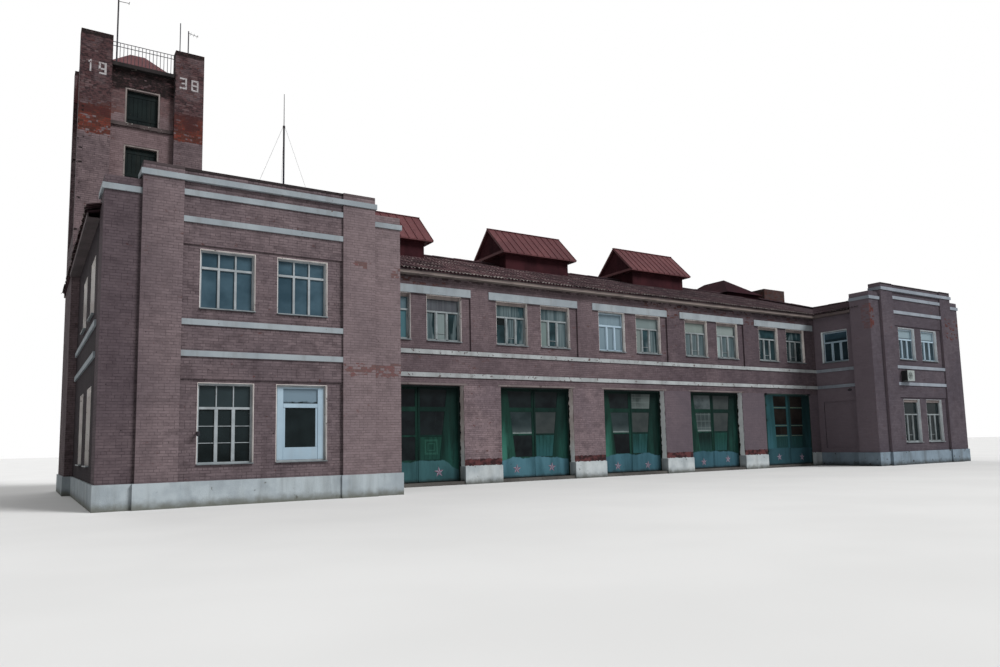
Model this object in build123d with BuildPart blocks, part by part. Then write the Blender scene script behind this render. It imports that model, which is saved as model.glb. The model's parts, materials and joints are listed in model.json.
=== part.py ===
from build123d import *
import math
import os

# Fire station with a hose tower, made as a model at half of full size: every size here is the
# model's own, in millimetres. X runs along the front from left to right, Y from front to rear.
# The origin is on the ground, below the ridge of the engine hall, midway along the front.

os.makedirs("parts", exist_ok=True)

# Plan
bay_count = 5
bay_pitch = 2528
wing_width = 4063
corner_step = 133
hall_half_depth = 2400
wing_projection = 1700
wall = 255
corner_return = 510
strip_width = 434
pilaster_width = 500
strip_setback = 60
panel_setback = 30
window_zone_depth = 25

# Heights above the ground
plinth_height = 325
plinth_projection = 25
lower_string_z = 1940
upper_string_z = 2355
band_height = 77
lower_sill_z = 530
lower_head_z = 1602
upper_sill_z = 2580
upper_head_z = 3390
lower_step_z = 1645
upper_step_z = 3435
third_band_z = 3725
second_band_z = 4087
strip_cap_z = 4030
strip_top_z = 4220
cap_z = 4277
parapet_z = 4460
band_projection = 25

# Eaves and roof
soffit_z = 3770
soffit_board = 10
fascia_board = 15
eave_overhang = 150
eave_height = 90
roof_sheet = 26
roof_slope = 0.369
end_slope = 0.26

# Floors
ground_floor_z = 60
first_floor_z = 2200
first_floor_thickness = 120

# Windows
window_width = 725
window_gap = 300
window_setback = 65
frame_depth = 45
frame_bar = 32
glass_thickness = 6
sill_thickness = 12
sill_projection = 35

# Engine hall front
gate_width = 1725
gate_offset = 30
gate_height = 1740
gate_recess = 175
bay_recess_width = 2130
bay_recess_depth = 30
end_pier = 65
hall_window_width = 720
hall_window_gap = 320
hall_sill_z = 2595
hall_head_z = 3450
lintel_height = 145
lintel_projection = 10

# Gates
post_width = 30
post_depth = 60
leaf_thickness = 30
leaf_edge_gap = 6
leaf_meeting_gap = 10
leaf_floor_gap = 10
stile_top = 220
stile_foot = 380
meeting_stile = 38
leaf_foot_panel = 385
lock_rail_z = 880
lock_rail = 20
head_rail_z = 1335
head_rail = 72
leaf_top_rail = 30
last_stile_top = 265
last_stile_foot = 320
last_meeting_stile = 70
last_foot_panel = 400
last_bar = 35
last_bar_zs = (750, 1000, 1440)
last_top_rail = 20
leaf_panel = 12
hinge_heights = (410, 1155, 1520)
hinge_stand_off = 10
hinge_radius = 8
hinge_pin_radius = 4
hinge_pin_clearance = 0.6
hinge_sides = 8
round_pin_z = hinge_heights[1]
hinge_length = 60
hinge_strap_length = 180
hinge_strap_height = 24
hinge_strap_thickness = 4
post_strap_length = 22

# Tower
tower_projection = 125
tower_front_y = 425
tower_width = 2110
tower_depth = 2100
tower_wall = 255
tower_pilaster_width = 520
tower_pilaster_z = 8370
tower_recess = 125
tower_recess_z = 4600
tower_parapet_z = 7820
cornice_height = 70
cornice_setback = 20
tower_side_z = 7700
tower_opening_width = 600
tower_opening_height = 700
tower_opening_zs = (5680, 6780)
tower_ledge_height = 67
tower_ledge_projection = 45
tower_roof_apex_z = 8650
shutter_thickness = 30
shutter_setback = 90
rail_height = 430
rail_bar = 10
rail_gap = 75
rail_count = 16

# Roof lanterns
lantern_first_x = -4880
lantern_pitch = 3790
lantern_count = 3
lantern_length = 1750
lantern_half_width = 525
lantern_overhang = 150
lantern_ridge_z = 5650
lantern_eave_z = 4985
lantern_soffit = 30
lantern_verge = 50
lantern_gable_depth = 60
old_lantern_x = 6310
old_lantern_width = 1300
old_lantern_y = 830
old_lantern_depth = 2060
old_lantern_overhang = 100
old_lantern_eave_z = 4830
old_lantern_slope = 0.715
chimney_x = 7725
chimney_y = 35
chimney_width = 910
chimney_depth = 470
chimney_top_z = 5080

# Poles on the roofs, and the cooling unit on the right wing
pole_y = 550
pole_sides = 8
pole_stand_off = 12
pole_places = ((-9780, 9220, 14), (-8690, 9020, 9), (-8540, 8900, 11))
mast_x = -7430
mast_y = -2100
mast_top_z = 6750
mast_radius = 16
cooler_x = 7300
cooler_width = 310
cooler_z = 2040
cooler_height = 260
cooler_depth = 130
cooler_bracket = 26
cooler_bracket_gap = 25

# Worked out from the sizes above
hall_half = bay_count * bay_pitch / 2
outer_x = hall_half - corner_step + wing_width
front_y = -hall_half_depth - wing_projection
hall_y = -hall_half_depth
strip_y = front_y + strip_setback
panel_y = front_y + panel_setback
zone_y = panel_y + window_zone_depth
front_inner_y = strip_y + wall
return_y = strip_y + corner_return
eave_z = soffit_z + eave_height
roof_underside = eave_z - roof_sheet
wall_top_z = roof_underside + eave_overhang * end_slope
strip_x = -outer_x + strip_width
left_panel_x = strip_x + pilaster_width
inner_face_x = -outer_x + wing_width
right_panel_x = inner_face_x - strip_width - pilaster_width
wing_mid_x = -outer_x + wing_width / 2
window_step = (window_width + window_gap) / 2
tower_x = -outer_x - tower_projection
tower_right_x = tower_x + tower_width
tower_rear_y = tower_front_y + tower_depth
bay_centres = [-hall_half + bay_pitch * (i + 0.5) for i in range(bay_count)]
gate_centres = [centre + gate_offset for centre in bay_centres]
lower_height = lower_head_z - lower_sill_z
upper_height = upper_head_z - upper_sill_z
hall_height = hall_head_z - hall_sill_z
storeys = ((lower_sill_z, lower_height), (upper_sill_z, upper_height))


def save(part, name):
    part.label = name
    export_step(part, f"parts/{name}.step")


def save_pair(part, name):
    """Write a piece of the left wing and its mirror image on the right wing."""
    save(part, "left_" + name)
    save(mirror(part, about=Plane.YZ), "right_" + name)


def block(x, y, z, mode=Mode.ADD):
    """A straight block in the open part, from its ranges along x, y and z."""
    with BuildSketch(Plane.XY.offset(z[0])) as plan:
        with Locations(((x[0] + x[1]) / 2, (y[0] + y[1]) / 2)):
            Rectangle(x[1] - x[0], y[1] - y[0])
    extrude(plan.sketch, amount=z[1] - z[0], mode=mode)


def facing_y(y, depth, shapes, mode=Mode.ADD):
    """Upright blocks that run back from y: (middle x, low z, width, height) for each."""
    with BuildSketch(Plane.XZ.offset(-y - depth)) as elevation:
        for middle, low, width, height in shapes:
            with Locations((middle, low + height / 2)):
                Rectangle(width, height)
    extrude(elevation.sketch, amount=depth, mode=mode)


def facing_x(x, depth, shapes, mode=Mode.ADD):
    """Upright blocks that run on from x: (middle y, low z, width, height) for each."""
    with BuildSketch(Plane.YZ.offset(x)) as elevation:
        for middle, low, width, height in shapes:
            with Locations((middle, low + height / 2)):
                Rectangle(width, height)
    extrude(elevation.sketch, amount=depth, mode=mode)


# Window places: each wall's list gives the middle and the sill height of every opening

def places(middles):
    return [(middle, sill, window_width, height) for middle in middles for sill, height in storeys]


wing_front_windows = places([wing_mid_x - window_step, wing_mid_x + window_step])
outer_wall_ys = [return_y + 830 + 1450 * i for i in range(2)]
right_outer_ys = [return_y + 830 + 1450 * i for i in range(4)]
inner_window_y = (hall_y + return_y) / 2
inner_window = [(inner_window_y, upper_sill_z, window_width, upper_height)]
blind_window = [(inner_window_y, lower_sill_z - 90, window_width + 90, lower_height + 90)]
bay_shift = [0] * bay_count
bay_shift[0] = -((bay_pitch - bay_recess_width) / 2 - end_pier) / 2
bay_shift[-1] = -bay_shift[0]
hall_step = (hall_window_width + hall_window_gap) / 2
hall_windows = []
for centre in bay_centres:
    for side in (-1, 1):
        hall_windows.append((centre + side * hall_step, hall_sill_z, hall_window_width, hall_height))
rear_middles = [centre + side * hall_step for centre in bay_centres for side in (-1, 1)]
rear_middles += [-wing_mid_x - window_step, -wing_mid_x + window_step, wing_mid_x + window_step * 2.2]
rear_windows = places(rear_middles)


# Walls of the wings

with BuildPart() as wing_front_wall:
    with BuildSketch(Plane.XY.offset(plinth_height)) as tall_plan:
        with BuildLine():
            Polyline(
                (strip_x, front_inner_y),
                (strip_x, front_y),
                (left_panel_x, front_y),
                (left_panel_x, panel_y),
                (right_panel_x, panel_y),
                (right_panel_x, front_y),
                (right_panel_x + pilaster_width, front_y),
                (right_panel_x + pilaster_width, front_inner_y),
                close=True,
            )
        make_face()
    extrude(amount=parapet_z - plinth_height)
    with BuildSketch(Plane.XY.offset(plinth_height)) as strip_plan:
        with BuildLine():
            Polyline(
                (-outer_x, strip_y),
                (strip_x, strip_y),
                (strip_x, front_inner_y),
                (-outer_x + wall, front_inner_y),
                (-outer_x + wall, return_y),
                (-outer_x, return_y),
                close=True,
            )
        make_face()
        with BuildLine():
            Polyline(
                (inner_face_x - strip_width, strip_y),
                (inner_face_x, strip_y),
                (inner_face_x, return_y),
                (-hall_half - wall, return_y),
                (-hall_half - wall, front_inner_y),
                (inner_face_x - strip_width, front_inner_y),
                close=True,
            )
        make_face()
    extrude(amount=strip_top_z - plinth_height)
    panel_width = right_panel_x - left_panel_x
    facing_y(
        panel_y,
        window_zone_depth,
        [
            (wing_mid_x, plinth_height, panel_width, lower_step_z - plinth_height),
            (
                wing_mid_x,
                upper_string_z + band_height,
                panel_width,
                upper_step_z - upper_string_z - band_height,
            ),
        ],
        Mode.SUBTRACT,
    )
    facing_y(front_y, wall * 2, wing_front_windows, Mode.SUBTRACT)
save_pair(wing_front_wall.part, "wing_front_wall")

with BuildPart() as left_outer_wall:
    block((-outer_x, -outer_x + wall), (return_y, tower_front_y), (plinth_height, wall_top_z))
    facing_x(-outer_x, wall, places(outer_wall_ys), Mode.SUBTRACT)
save(left_outer_wall.part, "left_wing_outer_wall")

with BuildPart() as right_outer_wall:
    block((outer_x - wall, outer_x), (return_y, hall_half_depth - wall), (plinth_height, wall_top_z))
    facing_x(outer_x - wall, wall, places(right_outer_ys), Mode.SUBTRACT)
save(right_outer_wall.part, "right_wing_outer_wall")

with BuildPart() as inner_wall:
    block((-hall_half - wall, -hall_half), (return_y, hall_y + wall), (plinth_height, wall_top_z))
    facing_x(-hall_half - wall, wall, inner_window, Mode.SUBTRACT)
    facing_x(-hall_half - bay_recess_depth, bay_recess_depth, blind_window, Mode.SUBTRACT)
save_pair(inner_wall.part, "wing_inner_wall")

# Walls of the engine hall

gate_top_z = ground_floor_z + gate_height
pier_edges = [-hall_half]
for centre in gate_centres:
    pier_edges += [centre - gate_width / 2, centre + gate_width / 2]
pier_edges.append(hall_half)
pier_spans = list(zip(pier_edges[::2], pier_edges[1::2]))

with BuildPart() as garage_piers:
    for span in pier_spans:
        block(span, (hall_y, hall_y + wall), (plinth_height, gate_top_z))
save(garage_piers.part, "garage_piers")

with BuildPart() as garage_upper_wall:
    block((-hall_half, hall_half), (hall_y, hall_y + wall), (gate_top_z, wall_top_z))
    recesses = []
    recess_low = upper_string_z + band_height
    for i, (centre, shift) in enumerate(zip(bay_centres, bay_shift)):
        width = bay_recess_width + 2 * abs(shift)
        recesses.append((centre + shift, recess_low, width, hall_head_z + lintel_height - recess_low))
    facing_y(hall_y, bay_recess_depth, recesses, Mode.SUBTRACT)
    facing_y(hall_y, wall, hall_windows, Mode.SUBTRACT)
save(garage_upper_wall.part, "garage_upper_wall")

with BuildPart() as rear_wall:
    block(
        (tower_right_x, outer_x),
        (hall_half_depth - wall, hall_half_depth),
        (plinth_height, wall_top_z),
    )
    facing_y(hall_half_depth - wall, wall, rear_windows, Mode.SUBTRACT)
save(rear_wall.part, "rear_wall")

# Plinths, the full thickness of the walls that stand on them

with BuildPart() as left_plinth:
    with BuildSketch():
        with BuildLine():
            Polyline(
                (-outer_x - plinth_projection, tower_front_y),
                (-outer_x - plinth_projection, strip_y - plinth_projection),
                (strip_x - plinth_projection, strip_y - plinth_projection),
                (strip_x - plinth_projection, front_y - plinth_projection),
                (left_panel_x + plinth_projection, front_y - plinth_projection),
                (left_panel_x + plinth_projection, panel_y - plinth_projection),
                (right_panel_x - plinth_projection, panel_y - plinth_projection),
                (right_panel_x - plinth_projection, front_y - plinth_projection),
                (right_panel_x + pilaster_width + plinth_projection, front_y - plinth_projection),
                (right_panel_x + pilaster_width + plinth_projection, strip_y - plinth_projection),
                (inner_face_x + plinth_projection, strip_y - plinth_projection),
                (inner_face_x + plinth_projection, return_y + plinth_projection),
                (-hall_half + plinth_projection, return_y + plinth_projection),
                (-hall_half + plinth_projection, hall_y - plinth_projection),
                (-hall_half, hall_y - plinth_projection),
                (-hall_half, hall_y + wall),
                (-hall_half - wall, hall_y + wall),
                (-hall_half - wall, front_inner_y),
                (-outer_x + wall, front_inner_y),
                (-outer_x + wall, tower_front_y),
                close=True,
            )
        make_face()
    extrude(amount=plinth_height)
save(left_plinth.part, "left_wing_plinth")

with BuildPart() as right_plinth:
    add(mirror(left_plinth.part, about=Plane.YZ, mode=Mode.PRIVATE))
    block(
        (outer_x - wall, outer_x + plinth_projection),
        (tower_front_y, hall_half_depth - wall),
        (0, plinth_height),
    )
save(right_plinth.part, "right_wing_plinth")

with BuildPart() as pier_plinths:
    for low, high in pier_spans:
        block((low, high), (hall_y - plinth_projection, hall_y + wall), (0, plinth_height))
save(pier_plinths.part, "garage_pier_plinths")

with BuildPart() as rear_plinth:
    block(
        (tower_right_x, outer_x + plinth_projection),
        (hall_half_depth - wall, hall_half_depth + plinth_projection),
        (0, plinth_height),
    )
    tower_foot_x = tower_x - plinth_projection
    block(
        (tower_foot_x, -outer_x - plinth_projection),
        (tower_front_y - plinth_projection, tower_front_y),
        (0, plinth_height),
    )
    block(
        (tower_foot_x, tower_x),
        (tower_front_y, tower_rear_y + plinth_projection),
        (0, plinth_height),
    )
    block(
        (tower_x, tower_right_x),
        (tower_rear_y, tower_rear_y + plinth_projection),
        (0, plinth_height),
    )
save(rear_plinth.part, "rear_plinth")

# Floors

hall_inner_y = (hall_y + wall, hall_half_depth - wall)
wing_inner_x = (-outer_x + wall, -hall_half)
first_floor = (first_floor_z - first_floor_thickness, first_floor_z)


def wing_floors(z):
    """The floors of both wings over the range z; the left one is cut round the tower."""
    with BuildPart() as slabs:
        block((wing_inner_x[0], -hall_half - wall), (front_inner_y, hall_inner_y[0]), z)
        block(wing_inner_x, hall_inner_y, z)
        mirror(about=Plane.YZ)
        block((tower_x, tower_right_x), (tower_front_y, tower_rear_y), z, Mode.SUBTRACT)
    return slabs.part


save(wing_floors((0, ground_floor_z)), "wing_ground_floors")
save(wing_floors(first_floor), "wing_first_floors")

with BuildPart() as garage_floor:
    block((-hall_half, hall_half), hall_inner_y, (0, ground_floor_z))
    for centre in gate_centres:
        block(
            (centre - gate_width / 2, centre + gate_width / 2),
            (hall_y, hall_inner_y[0]),
            (0, ground_floor_z),
        )
save(garage_floor.part, "garage_floor")

with BuildPart() as garage_first_floor:
    block((-hall_half, hall_half), hall_inner_y, first_floor)
save(garage_first_floor.part, "garage_first_floor")

# White bands, caps, string courses and lintels

with BuildPart() as left_bands:
    bands = [
        (wing_mid_x, z, panel_width, band_height)
        for z in (lower_string_z, upper_string_z, third_band_z, second_band_z)
    ]
    facing_y(panel_y - band_projection, band_projection, bands)
    cap = (cap_z, cap_z + band_height)
    with BuildSketch(Plane.XY.offset(cap_z)) as cap_plan:
        with BuildLine():
            Polyline(
                (strip_x - band_projection, front_inner_y),
                (strip_x - band_projection, front_y - band_projection),
                (right_panel_x + pilaster_width + band_projection, front_y - band_projection),
                (right_panel_x + pilaster_width + band_projection, front_inner_y),
                (right_panel_x + pilaster_width, front_inner_y),
                (right_panel_x + pilaster_width, front_y),
                (strip_x, front_y),
                (strip_x, front_inner_y),
                close=True,
            )
        make_face()
    extrude(amount=band_height)
    block(
        (left_panel_x, right_panel_x),
        (front_y, panel_y),
        cap,
    )
    strip_cap = (strip_cap_z, strip_cap_z + band_height)
    block((-outer_x - band_projection, strip_x), (strip_y - band_projection, strip_y), strip_cap)
    block((-outer_x - band_projection, -outer_x), (strip_y, return_y), strip_cap)
    block(
        (right_panel_x + pilaster_width, inner_face_x + band_projection),
        (strip_y - band_projection, strip_y),
        strip_cap,
    )
    block((inner_face_x, inner_face_x + band_projection), (strip_y, return_y), strip_cap)
    for z in (lower_string_z, upper_string_z):
        string = (z, z + band_height)
        block((-outer_x - band_projection, -outer_x), (return_y, tower_front_y), string)
        block((-hall_half, -hall_half + band_projection), (return_y, hall_y - band_projection), string)
save(left_bands.part, "left_wing_bands")

with BuildPart() as right_bands:
    add(mirror(left_bands.part, about=Plane.YZ, mode=Mode.PRIVATE))
    for z in (lower_string_z, upper_string_z):
        string = (z, z + band_height)
        block((outer_x, outer_x + band_projection), (tower_front_y, hall_half_depth), string)
save(right_bands.part, "right_wing_bands")

with BuildPart() as garage_string_courses:
    for z in (lower_string_z, upper_string_z):
        string = (z, z + band_height)
        block((-hall_half, hall_half), (hall_y - band_projection, hall_y), string)
save(garage_string_courses.part, "garage_string_courses")

with BuildPart() as garage_lintels:
    for centre, shift in zip(bay_centres, bay_shift):
        half = bay_recess_width / 2 + abs(shift)
        block(
            (centre + shift - half, centre + shift + half),
            (hall_y - lintel_projection, hall_y + bay_recess_depth),
            (hall_head_z, hall_head_z + lintel_height),
        )
save(garage_lintels.part, "garage_lintels")

# Roofs

eave_x = outer_x + eave_overhang
eave_y = hall_half_depth + eave_overhang
wing_eaves = (-eave_x, -hall_half + eave_overhang)
wing_roof_mid = (wing_eaves[0] + wing_eaves[1]) / 2
wing_roof_half = (wing_eaves[1] - wing_eaves[0]) / 2


def hall_roof_solid(drop, base):
    """The hipped roof over hall and wings as a solid, lowered by drop, with its foot at base."""
    with BuildPart() as solid:
        with BuildSketch(Plane.YZ.offset(-eave_x)) as gable:
            with BuildLine():
                Polyline(
                    (-eave_y, base),
                    (eave_y, base),
                    (eave_y, eave_z - drop),
                    (0, eave_z - drop + eave_y * roof_slope),
                    (-eave_y, eave_z - drop),
                    close=True,
                )
            make_face()
        extrude(gable.sketch, amount=2 * eave_x)
        for side in (-1, 1):
            hip = Plane(origin=(side * eave_x, 0, eave_z - drop), z_dir=(side * end_slope, 0, 1))
            split(bisect_by=hip, keep=Keep.BOTTOM)
    return solid.part


def wing_roof_solid(drop, base):
    """The gabled roof of the left wing as a solid, from the front parapet back to the ridge."""
    with BuildPart() as solid:
        with BuildSketch(Plane.XZ) as gable:
            with BuildLine():
                Polyline(
                    (wing_eaves[0], base),
                    (wing_eaves[1], base),
                    (wing_eaves[1], eave_z - drop),
                    (wing_roof_mid, eave_z - drop + wing_roof_half * end_slope),
                    (wing_eaves[0], eave_z - drop),
                    close=True,
                )
            make_face()
        extrude(gable.sketch, amount=-front_inner_y)
    return solid.part


def wing_roof_area():
    """The space over the left wing's roof, bounded behind by its hip and valley lines."""
    with BuildPart() as area:
        with BuildSketch(Plane.XY.offset(soffit_z)) as plan:
            with BuildLine():
                Polyline(
                    (wing_eaves[0], front_inner_y),
                    (wing_eaves[0], -eave_y),
                    (wing_roof_mid, wing_roof_half * end_slope / roof_slope - eave_y),
                    (wing_eaves[1], -eave_y),
                    (wing_eaves[1], front_inner_y),
                    close=True,
                )
            make_face()
        extrude(plan.sketch, amount=parapet_z)
    return area.part


def tower_shaft():
    """The tower's outline from the ground to above its top, for what is cut round it."""
    with BuildPart() as shaft:
        block((tower_x, tower_right_x), (tower_front_y, tower_rear_y), (0, tower_pilaster_z))
    return shaft.part


roof_foot = eave_z - roof_sheet
deep_foot = soffit_z - roof_sheet
hall_outer = hall_roof_solid(0, deep_foot)
wing_outer = wing_roof_solid(0, deep_foot)

wing_area = wing_roof_area()

with BuildPart() as wing_roof:
    add(wing_roof_solid(0, roof_foot))
    add(wing_roof_solid(roof_sheet, roof_foot - 2 * roof_sheet), mode=Mode.SUBTRACT)
    add(wing_area, mode=Mode.INTERSECT)
    clear_z = (deep_foot, parapet_z)
    notch_y = (front_y, return_y)
    block((-eave_x, -outer_x + wall), notch_y, clear_z, Mode.SUBTRACT)
    block((-hall_half - wall, wing_eaves[1]), notch_y, clear_z, Mode.SUBTRACT)
save_pair(wing_roof.part, "wing_roof")

with BuildPart() as main_roof:
    add(hall_roof_solid(0, roof_foot))
    add(hall_roof_solid(roof_sheet, roof_foot - 2 * roof_sheet), mode=Mode.SUBTRACT)
    add(wing_area, mode=Mode.SUBTRACT)
    add(mirror(wing_area, about=Plane.YZ, mode=Mode.PRIVATE), mode=Mode.SUBTRACT)
    add(tower_shaft(), mode=Mode.SUBTRACT)
save(main_roof.part, "main_roof")

# Eaves: a soffit board and a fascia, in straight runs


def eave_plan(inset):
    """The plan of the roofs, drawn in by inset, as one face at the soffit."""
    with BuildSketch(Plane.XY.offset(soffit_z)) as plan:
        Rectangle(2 * (eave_x - inset), 2 * (eave_y - inset))
        for side in (-1, 1):
            with Locations((side * wing_roof_mid, return_y / 2)):
                Rectangle(2 * (wing_roof_half - inset), -return_y)
    return plan.sketch


def eave_run(x, y):
    """The stretch of the eaves that lies within the ranges x and y."""
    with BuildPart() as run:
        with BuildSketch(Plane.XY.offset(soffit_z)) as soffit:
            add(eave_plan(0))
            add(eave_plan(eave_overhang), mode=Mode.SUBTRACT)
        extrude(soffit.sketch, amount=soffit_board)
        with BuildSketch(Plane.XY.offset(soffit_z)) as fascia:
            add(eave_plan(0))
            add(eave_plan(fascia_board), mode=Mode.SUBTRACT)
        extrude(fascia.sketch, amount=roof_foot - soffit_z)
        add(tower_shaft(), mode=Mode.SUBTRACT)
        block(x, y, (soffit_z, eave_z), Mode.INTERSECT)
    return run.part


with BuildPart() as hall_eaves:
    add(eave_run((wing_eaves[1], -wing_eaves[1]), (-eave_y, hall_y)))
    add(eave_run((-eave_x, eave_x), (hall_half_depth, eave_y)))
save(hall_eaves.part, "hall_eaves")

with BuildPart() as left_eaves:
    add(eave_run((-eave_x, -outer_x), (return_y, tower_front_y)))
    add(eave_run((-hall_half, wing_eaves[1]), (return_y, hall_y)))
save(left_eaves.part, "left_wing_eaves")

with BuildPart() as right_eaves:
    add(eave_run((outer_x, eave_x), (return_y, hall_half_depth)))
    add(eave_run((-wing_eaves[1], hall_half), (return_y, hall_y)))
save(right_eaves.part, "right_wing_eaves")

# Roof lanterns and chimney


def roof_box(x, y, top):
    """A closed box over the ranges x and y that stands on the main roof."""
    with BuildPart() as body:
        block(x, y, (eave_z, top))
        add(hall_outer, mode=Mode.SUBTRACT)
    return body.part


def gabled_cap(x, length, half_width, eave, ridge):
    """A closed gabled roof along x with a sunk triangle in each end and a flat soffit."""
    fall = (ridge - eave) / half_width
    pocket_low = eave + lantern_soffit
    pocket_half = (ridge - lantern_verge - pocket_low) / fall
    with BuildPart() as roof:
        with BuildSketch(Plane.YZ.offset(x - length / 2)) as gable:
            with BuildLine():
                Polyline(
                    (-half_width, eave - lantern_soffit),
                    (half_width, eave - lantern_soffit),
                    (half_width, eave),
                    (0, ridge),
                    (-half_width, eave),
                    close=True,
                )
            make_face()
        extrude(gable.sketch, amount=length)
        for start in (x - length / 2, x + length / 2 - lantern_gable_depth):
            with BuildSketch(Plane.YZ.offset(start)) as pocket:
                with BuildLine():
                    Polyline(
                        (-pocket_half, pocket_low),
                        (pocket_half, pocket_low),
                        (0, ridge - lantern_verge),
                        close=True,
                    )
                make_face()
            extrude(pocket.sketch, amount=lantern_gable_depth, mode=Mode.SUBTRACT)
    return roof.part


lantern_xs = [lantern_first_x + lantern_pitch * i for i in range(lantern_count)]

with BuildPart() as lantern_bodies:
    for x in lantern_xs:
        add(
            roof_box(
                (x - lantern_length / 2, x + lantern_length / 2),
                (-lantern_half_width, lantern_half_width),
                lantern_eave_z - lantern_soffit,
            )
        )
save(lantern_bodies.part, "lantern_bodies")

with BuildPart() as lantern_roofs:
    for x in lantern_xs:
        add(
            gabled_cap(
                x,
                lantern_length + 2 * lantern_overhang,
                lantern_half_width + lantern_overhang,
                lantern_eave_z,
                lantern_ridge_z,
            )
        )
save(lantern_roofs.part, "lantern_roofs")

old_low = (old_lantern_x - old_lantern_width / 2, old_lantern_y - old_lantern_depth / 2)
old_high = (old_lantern_x + old_lantern_width / 2, old_lantern_y + old_lantern_depth / 2)

with BuildPart() as old_lantern:
    add(roof_box((old_low[0], old_high[0]), (old_low[1], old_high[1]), old_lantern_eave_z))
save(old_lantern.part, "old_lantern_body")

with BuildPart() as old_lantern_roof:
    old_eave_half = old_lantern_width / 2 + old_lantern_overhang
    old_rise = old_eave_half * old_lantern_slope
    with BuildSketch(Plane.XZ.offset(old_lantern_overhang - old_low[1])) as gable:
        with BuildLine():
            Polyline(
                (old_lantern_x - old_eave_half, old_lantern_eave_z),
                (old_lantern_x + old_eave_half, old_lantern_eave_z),
                (old_lantern_x, old_lantern_eave_z + old_rise),
                close=True,
            )
        make_face()
    extrude(amount=-old_lantern_depth - 2 * old_lantern_overhang)
    for side, y in ((-1, old_low[1] - old_lantern_overhang), (1, old_high[1] + old_lantern_overhang)):
        hip = Plane(origin=(0, y, old_lantern_eave_z), z_dir=(0, side * old_lantern_slope, 1))
        split(bisect_by=hip, keep=Keep.BOTTOM)
save(old_lantern_roof.part, "old_lantern_roof")

with BuildPart() as chimney:
    block(
        (chimney_x - chimney_width / 2, chimney_x + chimney_width / 2),
        (chimney_y - chimney_depth / 2, chimney_y + chimney_depth / 2),
        (eave_z, chimney_top_z),
    )
    add(hall_outer, mode=Mode.SUBTRACT)
    add(mirror(wing_outer, about=Plane.YZ, mode=Mode.PRIVATE), mode=Mode.SUBTRACT)
save(chimney.part, "chimney")

# Hose tower

tower_mid_x = (tower_x + tower_right_x) / 2
recess_width = tower_width - 2 * tower_pilaster_width
tower_side = (tower_front_y + tower_wall, tower_rear_y)
tower_openings = [
    (tower_mid_x, z, tower_opening_width, tower_opening_height) for z in tower_opening_zs
]

with BuildPart() as tower_front_wall:
    block((tower_x, tower_right_x), (tower_front_y, tower_side[0]), (0, tower_parapet_z))
    for x in (tower_x, tower_right_x - tower_pilaster_width):
        block(
            (x, x + tower_pilaster_width),
            (tower_front_y, tower_side[0]),
            (tower_parapet_z, tower_pilaster_z),
        )
    facing_y(
        tower_front_y,
        tower_recess,
        [(tower_mid_x, tower_recess_z, recess_width, tower_pilaster_z - tower_recess_z)],
        Mode.SUBTRACT,
    )
    facing_y(tower_front_y, tower_wall, tower_openings, Mode.SUBTRACT)
save(tower_front_wall.part, "tower_front_wall")

tower_rear_inner_y = tower_rear_y - tower_wall

with BuildPart() as tower_side_walls:
    side_walls_y = (tower_side[0], tower_rear_inner_y)
    for x in (tower_x, tower_right_x - tower_wall):
        block((x, x + tower_wall), side_walls_y, (0, tower_side_z))
    for x in (tower_x, tower_right_x - tower_recess):
        block(
            (x, x + tower_recess),
            side_walls_y,
            (tower_recess_z, tower_side_z),
            Mode.SUBTRACT,
        )
save(tower_side_walls.part, "tower_side_walls")

rear_pilasters = [
    (x + tower_pilaster_width / 2, tower_side_z, tower_pilaster_width, tower_pilaster_z - tower_side_z)
    for x in (tower_x, tower_right_x - tower_pilaster_width)
]

with BuildPart() as tower_rear_wall:
    block((tower_x, tower_right_x), (tower_rear_inner_y, tower_rear_y), (0, tower_side_z))
    facing_y(tower_rear_inner_y, tower_wall, rear_pilasters)
    facing_y(
        tower_rear_y - tower_recess,
        tower_recess,
        [(tower_mid_x, tower_recess_z, recess_width, tower_side_z - tower_recess_z)],
        Mode.SUBTRACT,
    )
save(tower_rear_wall.part, "tower_rear_wall")

with BuildPart() as tower_ledges:
    for z in tower_opening_zs:
        block(
            (tower_x + tower_pilaster_width, tower_right_x - tower_pilaster_width),
            (
                tower_front_y + tower_recess - tower_ledge_projection,
                tower_front_y + tower_recess,
            ),
            (z - tower_ledge_height, z),
        )
save(tower_ledges.part, "tower_ledges")

with BuildPart() as tower_shutters:
    facing_y(tower_front_y + tower_recess + shutter_setback, shutter_thickness, tower_openings)
save(tower_shutters.part, "tower_shutters")

with BuildPart() as tower_roof:
    with BuildSketch(Plane.YZ.offset(tower_x)) as gable:
        with BuildLine():
            Polyline(
                (tower_side[0], tower_side_z),
                (tower_side[1], tower_side_z),
                ((tower_side[0] + tower_side[1]) / 2, tower_roof_apex_z),
                close=True,
            )
        make_face()
    extrude(amount=tower_width)
    hip_fall = (tower_roof_apex_z - tower_side_z) / (tower_side[1] - tower_side[0]) * 2
    for side, x in ((-1, tower_x), (1, tower_right_x)):
        hip = Plane(origin=(x, 0, tower_side_z), z_dir=(side * hip_fall, 0, 1))
        split(bisect_by=hip, keep=Keep.BOTTOM)
    facing_y(tower_rear_inner_y, tower_wall, rear_pilasters, Mode.SUBTRACT)
save(tower_roof.part, "tower_roof")

with BuildPart() as tower_cornice:
    rail_x = (tower_x + tower_pilaster_width, tower_right_x - tower_pilaster_width)
    cornice_top_z = tower_parapet_z + cornice_height
    block(rail_x, (tower_front_y + cornice_setback, tower_side[0]), (tower_parapet_z, cornice_top_z))
save(tower_cornice.part, "tower_cornice")

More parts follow.
